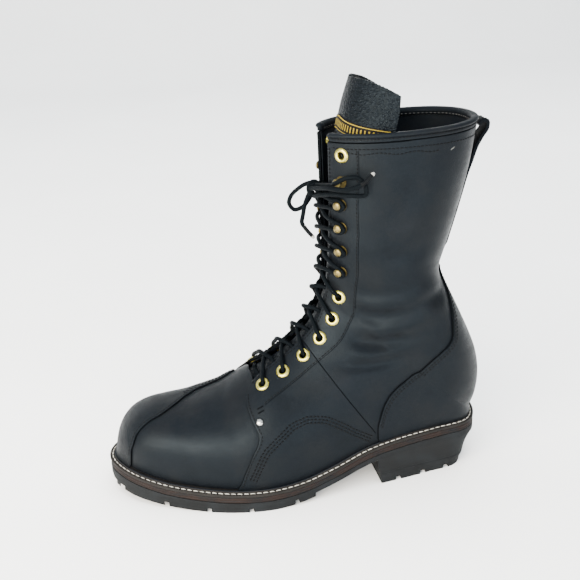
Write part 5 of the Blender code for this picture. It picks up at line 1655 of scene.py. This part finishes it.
class BOOT_OT_fastenings(BootStep, bpy.types.Operator):
    """Rolled eyelets, lace hooks and rivets."""

    bl_idname = "boot.fastenings"
    bl_label = "Eyelets and hooks"

    def build(self, boot, finish):
        eyelets, hooks, rivets = Piece(), Piece(), Piece()
        for kind, s, ridge in FASTENINGS:
            for side in SIDES:
                spot, out = self.spot(s, ridge, side)
                if kind == "eyelet":
                    turned(eyelets, EYELET_PROFILE, spot, out, 40)
                    turned(eyelets, EYELET_BACK, spot, out, 24)
                    continue
                # the plate takes the darkened brass: painted shade under the hook's dome
                turned(hooks, PLATE_PROFILE, spot, out, 32, 1)
                throat = self.spot(s, ridge - DOME_SHIFT, side)[0] - spot
                turned(hooks, DOME_PROFILE, spot + throat, out, 32)
        for side in SIDES:
            spot, out = self.spot(*RIVET, side)
            turned(rivets, RIVET_PROFILE, spot, out, 32)
        every = {kind: [f"{kind}_{word}_{k}" for word in ("outer", "inner") for k in range(1, count + 1)]
                 for kind, count in (("eyelet", 7), ("hook", 5))}
        eyelets.make("eyelets", [finish["brass"]], "brass", every["eyelet"], 50.0)
        hooks.make("lace_hooks", [finish["aged_brass"], finish["dark_brass"]], "aged_brass", every["hook"],
                   50.0)
        rivets.make("rivets", [finish["nickel"]], "nickel", ["rivet_outer", "rivet_inner"], 50.0)

    def spot(self, s, ridge, side):
        point, out = form.at(s, side * ridge / form.half(s, side))
        return point + out * QUARTER_STEP, out


def ring(grow, drop, count=220):
    """One closed loop of the sole: the grown feather line, lowered from the feather's height."""
    line = Outline(grow).line
    closed = np.vstack([line, line[:1]])
    run = run_along(closed)
    flat = sample(np.linspace(0.0, run[-1], count, endpoint=False), run, closed)
    return np.column_stack([flat, feather_height(flat[:, 0]) - drop])


def loft(rings, closed=False):
    """Points and side faces of loops of equal length; closed joins the last loop to the first."""
    return np.vstack(rings), grid_faces(len(rings), len(rings[0]), True, closed).tolist()


def bridge(start, count, steps):
    """Faces across the loop that begins at a number, between its two sides, from its first point on."""
    faces = []
    for i in range(steps):
        face = [start + i, start + i + 1, start + (count - i - 1) % count, start + (count - i) % count]
        faces.append(without_repeats(face))
    return faces


class BOOT_OT_welt(BootStep, bpy.types.Operator):
    """Welt with its bead and white stitching, midsole edge and insole."""

    bl_idname = "boot.welt"
    bl_label = "Welt and midsole"

    def build(self, boot, finish):
        deep = SEAT + WELT_THICK
        profile = ((WELT_IN, deep), (WELT_OUT - 0.5, deep), (WELT_OUT, deep - 0.4), (WELT_OUT, SEAT + 1.3),
                   (WELT_OUT - 0.35, SEAT + 0.75), (WELT_OUT - 0.9, SEAT + 0.55), (5.3, SEAT + 0.75),
                   (4.7, SEAT + 1.0), (3.6, SEAT + 0.95), (3.1, SEAT + 0.5), (2.7, SEAT - 0.35),
                   (2.2, SEAT - 0.55), (1.7, SEAT - 0.3), (1.3, SEAT + 0.3), (0.6, SEAT), (WELT_IN, SEAT))
        welt = Piece()
        points, faces = loft([ring(grow, drop) for grow, drop in profile], closed=True)
        # the bead's faces take the lighter leather, a painted sheen
        bead = [int(0.5 < (a[0] + b[0]) / 2 < 2.8) for a, b in zip(profile, profile[1:] + profile[:1])]
        welt.add(points, faces, None, np.repeat(bead, len(faces) // len(profile)))
        welt.make("welt_strip", [finish["welt"], finish["bead"]], "welt_leather", ["welt"], 60.0)
        line = ring(4.25, SEAT + 0.75, 700)
        line = np.vstack([line, line[:1]])
        thread = Piece()
        sizes = boot.sizes
        stitches(thread, line, np.tile((0.0, 0.0, 1.0), (len(line), 1)), sizes.welt_pitch / MM,
                 sizes.welt_stitch / MM, sizes.welt_thread / MM, 0.06)
        thread.make("welt_stitching", [finish["welt_thread"]], "welt_leather", weld=False)
        top = deep + SEAT
        low = top + MIDSOLE_THICK + SEAT
        core = WELT_IN - 0.5
        out = WELT_OUT - 0.6
        middle = (low + top) / 2
        profile = ((core, low), (out - 0.4, low), (out, low - 0.4), (out + 0.1, middle + 0.2),
                   (out - 0.15, middle), (out + 0.1, middle - 0.2), (out, top + 0.4), (out - 0.4, top),
                   (core, top))
        midsole = Piece()
        midsole.add(*loft([ring(grow, drop) for grow, drop in profile], closed=True))
        midsole.make("midsole_edge", [finish["midsole"]], "midsole", ["midsole"], 60.0)
        self.insole(finish)

    def insole(self, finish):
        grow = -WALL - 2.0
        rings = [ring(grow, 0.0), ring(grow, -3.0), ring(grow - 0.6, -3.6)]
        inner = rings[-1]
        middle = inner.mean(axis=0)
        shrunk = [middle + (inner - middle) * (k, k, 1.0) for k in (0.75, 0.5, 0.25)]
        for loop in shrunk:
            loop[:, 2] = feather_height(loop[:, 0]) + 3.6
        points, faces = loft(rings + shrunk)
        count = len(inner)
        faces.append(list(range(len(points) - count, len(points))))
        faces.append(list(range(count)))
        piece = Piece()
        piece.add(points, faces)
        piece.make("footbed", [finish["insole"]], "insole", ["insole"], 50.0)


# Where lugs and gaps end by turns under the forefoot: forward from the outsole's back, and shares across.
LUG_ENDS = (153.0, 167.0, 170.5, 205.0, 208.5, 238.6, 242.0, 272.0, 275.4, 307.0, 310.4, 313.4)
LUG_ACROSS = (0.0, 0.26, 0.31, 0.69, 0.74, 1.0)
LUG_ROUND = 0.55        # rounding of every edge
HEEL_RINGS = (
    # height share from bottom to top, back drawn in, width share
    (1.0, 0.0, 0.99), (0.93, 1.2, 0.984), (0.8, 3.4, 0.972), (0.68, 5.2, 0.962), (0.55, 6.6, 0.955),
    (0.46, 7.3, 0.950), (0.4, 7.6, 0.948), (0.36, 7.9, 0.947), (0.35, 8.3, 0.941), (0.33, 8.4, 0.941),
    (0.32, 8.2, 0.946), (0.25, 8.8, 0.945), (0.18, 10.0, 0.944), (0.1, 11.6, 0.943),
)
# The same under the heel, as shares from back to breast and across.
HEEL_STATIONS = (0.0, 0.012, 0.05, 0.12, 0.235, 0.295, 0.5, 0.56, 0.78, 0.84, 1.0)
HEEL_ACROSS = (0.0, 0.44, 0.56, 1.0)


def tread(forward):
    """Height of the lugs' faces: flat on the floor under the ball, rising to the toe and the waist."""
    return np.maximum(underside(forward) - LUG_DEEP - 0.3, 0.0)


def worn_heel(forward):
    """Height of the heel's face: flat, and worn off round the lower back edge."""
    return 2.2 * np.clip((20.0 - forward) / 9.8, 0.0, 1.0) ** 2


def finer(values, gap):
    """The same values with more between them wherever a gap is wide."""
    made = [values[0]]
    for low, high in zip(values, values[1:]):
        parts = max(1, int(math.ceil((high - low) / gap)))
        made += [low + (high - low) * k / parts for k in range(1, parts + 1)]
    return np.array(made)


def between(first, second, shares):
    """A grid of points between two lines, at shares from the first to the second."""
    shares = shares[None, :, None]
    return first[:, None] * (1 - shares) + second[:, None] * shares


def lugged(points, faces, grid, is_lug, floor):
    """Close an underside with a grid of cells and let the lug cells down; then round every edge."""
    work = bmesh.new()
    known = {}

    def vertex(p):
        key = tuple(np.round(p, 3))
        if key not in known:
            known[key] = work.verts.new(p)
        return known[key]

    corners = [vertex(p) for p in points]
    for face in faces:
        face = without_repeats([corners[v] for v in face])
        if len(set(face)) > 2:
            work.faces.new(face)
    lugs = []
    rows, columns = grid.shape[:2]
    cells = [[vertex(grid[i, j]) for j in range(columns)] for i in range(rows)]
    for i in range(rows - 1):
        for j in range(columns - 1):
            face = without_repeats([cells[i][j], cells[i + 1][j], cells[i + 1][j + 1], cells[i][j + 1]])
            if len(set(face)) < 3:
                continue
            new = work.faces.new(face)
            if is_lug(grid[i:i + 2, j:j + 2].mean(axis=(0, 1)), i, j):
                lugs.append(new)
    grown = bmesh.ops.extrude_face_region(work, geom=lugs)
    for item in grown["geom"]:
        if isinstance(item, bmesh.types.BMVert):
            item.co.z = float(floor(item.co.x))
    bmesh.ops.delete(work, geom=lugs, context="FACES_ONLY")
    bmesh.ops.recalc_face_normals(work, faces=work.faces)
    sharp = [e for e in work.edges if len(e.link_faces) == 2 and e.calc_face_angle(0.0) > math.radians(35)]
    bmesh.ops.bevel(work, geom=sharp, offset=LUG_ROUND, segments=2, profile=0.6, affect="EDGES",
                    clamp_overlap=True)
    work.verts.index_update()
    piece = Piece()
    piece.add([v.co[:] for v in work.verts], [[v.index for v in f.verts] for f in work.faces])
    work.free()
    return piece


class BOOT_OT_sole(BootStep, bpy.types.Operator):
    """Rubber outsole with lugs under the forefoot, and the drawn-in heel."""

    bl_idname = "boot.sole"
    bl_label = "Outsole and heel"

    def build(self, boot, finish):
        self.outsole().make("outsole_rubber", [finish["rubber"]], "rubber", ["outsole"], 35.0)
        self.heel().make("heel_block", [finish["rubber"]], "rubber", ["heel"], 35.0)

    def outsole(self):
        grow = WELT_OUT - 0.2
        outline = Outline(grow)
        ends = outline.back[0], outline.tip[0]
        back = (0.0, 0.3, 1.0, 2.0, 3.6, 5.6, 8.0, 11.0)
        spots = np.concatenate([back, finer((16.0, LUG_ENDS[0]), 6.0), LUG_ENDS[1:], (314.2, 314.8, 315.2)])
        forward = np.clip(finer(np.unique(spots), 6.0) + ends[0], *ends)
        forward = np.unique(np.append(forward, ends[1]))
        sides = {side: np.column_stack([forward, outline.across(forward, side)]) for side in SIDES}
        for side in SIDES:
            sides[side][0], sides[side][-1] = outline.back, outline.tip
        top = 3 * SEAT + WELT_THICK + MIDSOLE_THICK
        flat = np.vstack([sides[OUTER], sides[INNER][-2:0:-1]])
        rings = []
        for share in (0.0, 0.25, 0.5, 0.75, 1.0):
            bottom = underside(flat[:, 0])
            height = bottom + share * (feather_height(flat[:, 0]) - top - bottom)
            rings.append(np.column_stack([flat, height]))
        points, faces = loft(rings)
        half = len(forward)
        faces += bridge((len(rings) - 1) * len(flat), len(flat), half - 1)
        low = rings[0]
        ways = finer(LUG_ACROSS, 0.13)
        grid = between(low[:half], np.vstack([low[:1], low[:half - 2:-1]]), ways)

        def is_lug(middle, i, j):
            along = np.searchsorted(LUG_ENDS, middle[0] - ends[0])
            over = np.searchsorted(LUG_ACROSS, (ways[j] + ways[j + 1]) / 2)
            return along % 2 == 1 and over % 2 == 1

        return lugged(points, faces, grid, is_lug, tread)

    def heel(self):
        outline = Outline(WELT_OUT - 0.4)
        back = outline.back[0]
        stations = np.unique(np.concatenate([finer(HEEL_STATIONS, 0.05), [0.003, 0.007, 0.02, 0.032, 0.08]]))
        across_at = finer(HEEL_ACROSS, 0.12)
        rings = []
        for height, drawn, width in HEEL_RINGS:
            breast = HEEL_BREAST[1] + (HEEL_BREAST[0] - HEEL_BREAST[1]) * height
            base = back + stations * (HEEL_BREAST[0] - back)
            forward = back + drawn + stations * (breast - back - drawn)
            sides = []
            for side in SIDES:
                across = outline.across(base, side) * width
                across[0] = outline.back[1]
                up = (underside(forward) - SEAT) * height
                up = up if height > 0.15 else np.full_like(up, LUG_DEEP)
                sides.append(np.column_stack([forward, across, up]))
            breast_line = between(sides[0][-1:], sides[1][-1:], across_at[1:-1])[0]
            rings.append(np.vstack([sides[0], breast_line, sides[1][:0:-1]]))
        points, faces = loft(rings[::-1])
        count, half = len(rings[0]), len(stations)
        start = (len(rings) - 1) * count
        faces += bridge(start, count, half - 2)
        faces.append([start + k for k in range(half - 2, count - half + 3)])
        low = rings[-1]
        grid = between(low[:half], np.vstack([low[:1], low[:-half:-1]]), across_at)

        def is_lug(middle, i, j):
            along = np.searchsorted(HEEL_STATIONS, (stations[i] + stations[i + 1]) / 2) - 1
            over = np.searchsorted(HEEL_ACROSS, (across_at[j] + across_at[j + 1]) / 2) - 1
            return along < 3 or (along % 2 == 1 and over % 2 == 0)

        return lugged(points, faces, grid, is_lug, worn_heel)


class BOOT_PT_panel(bpy.types.Panel):
    """Lists the boot's steps and settings."""

    bl_idname = "BOOT_PT_panel"
    bl_label = "Lineman boot"
    bl_space_type = "VIEW_3D"
    bl_region_type = "UI"
    bl_category = "Boot"

    def draw(self, context):
        for step in STEPS:
            self.layout.operator(step.bl_idname)
        boot = context.scene.boot
        for group in (boot.sizes, boot.colours):
            column = self.layout.column()
            for key in group.__annotations__:
                column.prop(group, key)


STEPS = (BOOT_OT_stage, BOOT_OT_bow, BOOT_OT_lacing, BOOT_OT_upper, BOOT_OT_overlays, BOOT_OT_tongue,
         BOOT_OT_fastenings, BOOT_OT_collar, BOOT_OT_welt, BOOT_OT_sole, BOOT_OT_stitching)
CLASSES = (BootColours, BootSizes, BootSettings, *STEPS, BOOT_PT_panel)


def register():
    for kind in CLASSES:
        bpy.utils.register_class(kind)
    bpy.types.Scene.boot = PointerProperty(type=BootSettings)


def unregister():
    del bpy.types.Scene.boot
    for kind in reversed(CLASSES):
        bpy.utils.unregister_class(kind)


def main():
    register()
    form.wear(bpy.context.scene.boot.sizes.creases)
    for step in STEPS:
        group, name = step.bl_idname.split(".")
        getattr(getattr(bpy.ops, group), name)()


if __name__ == "__main__":
    main()
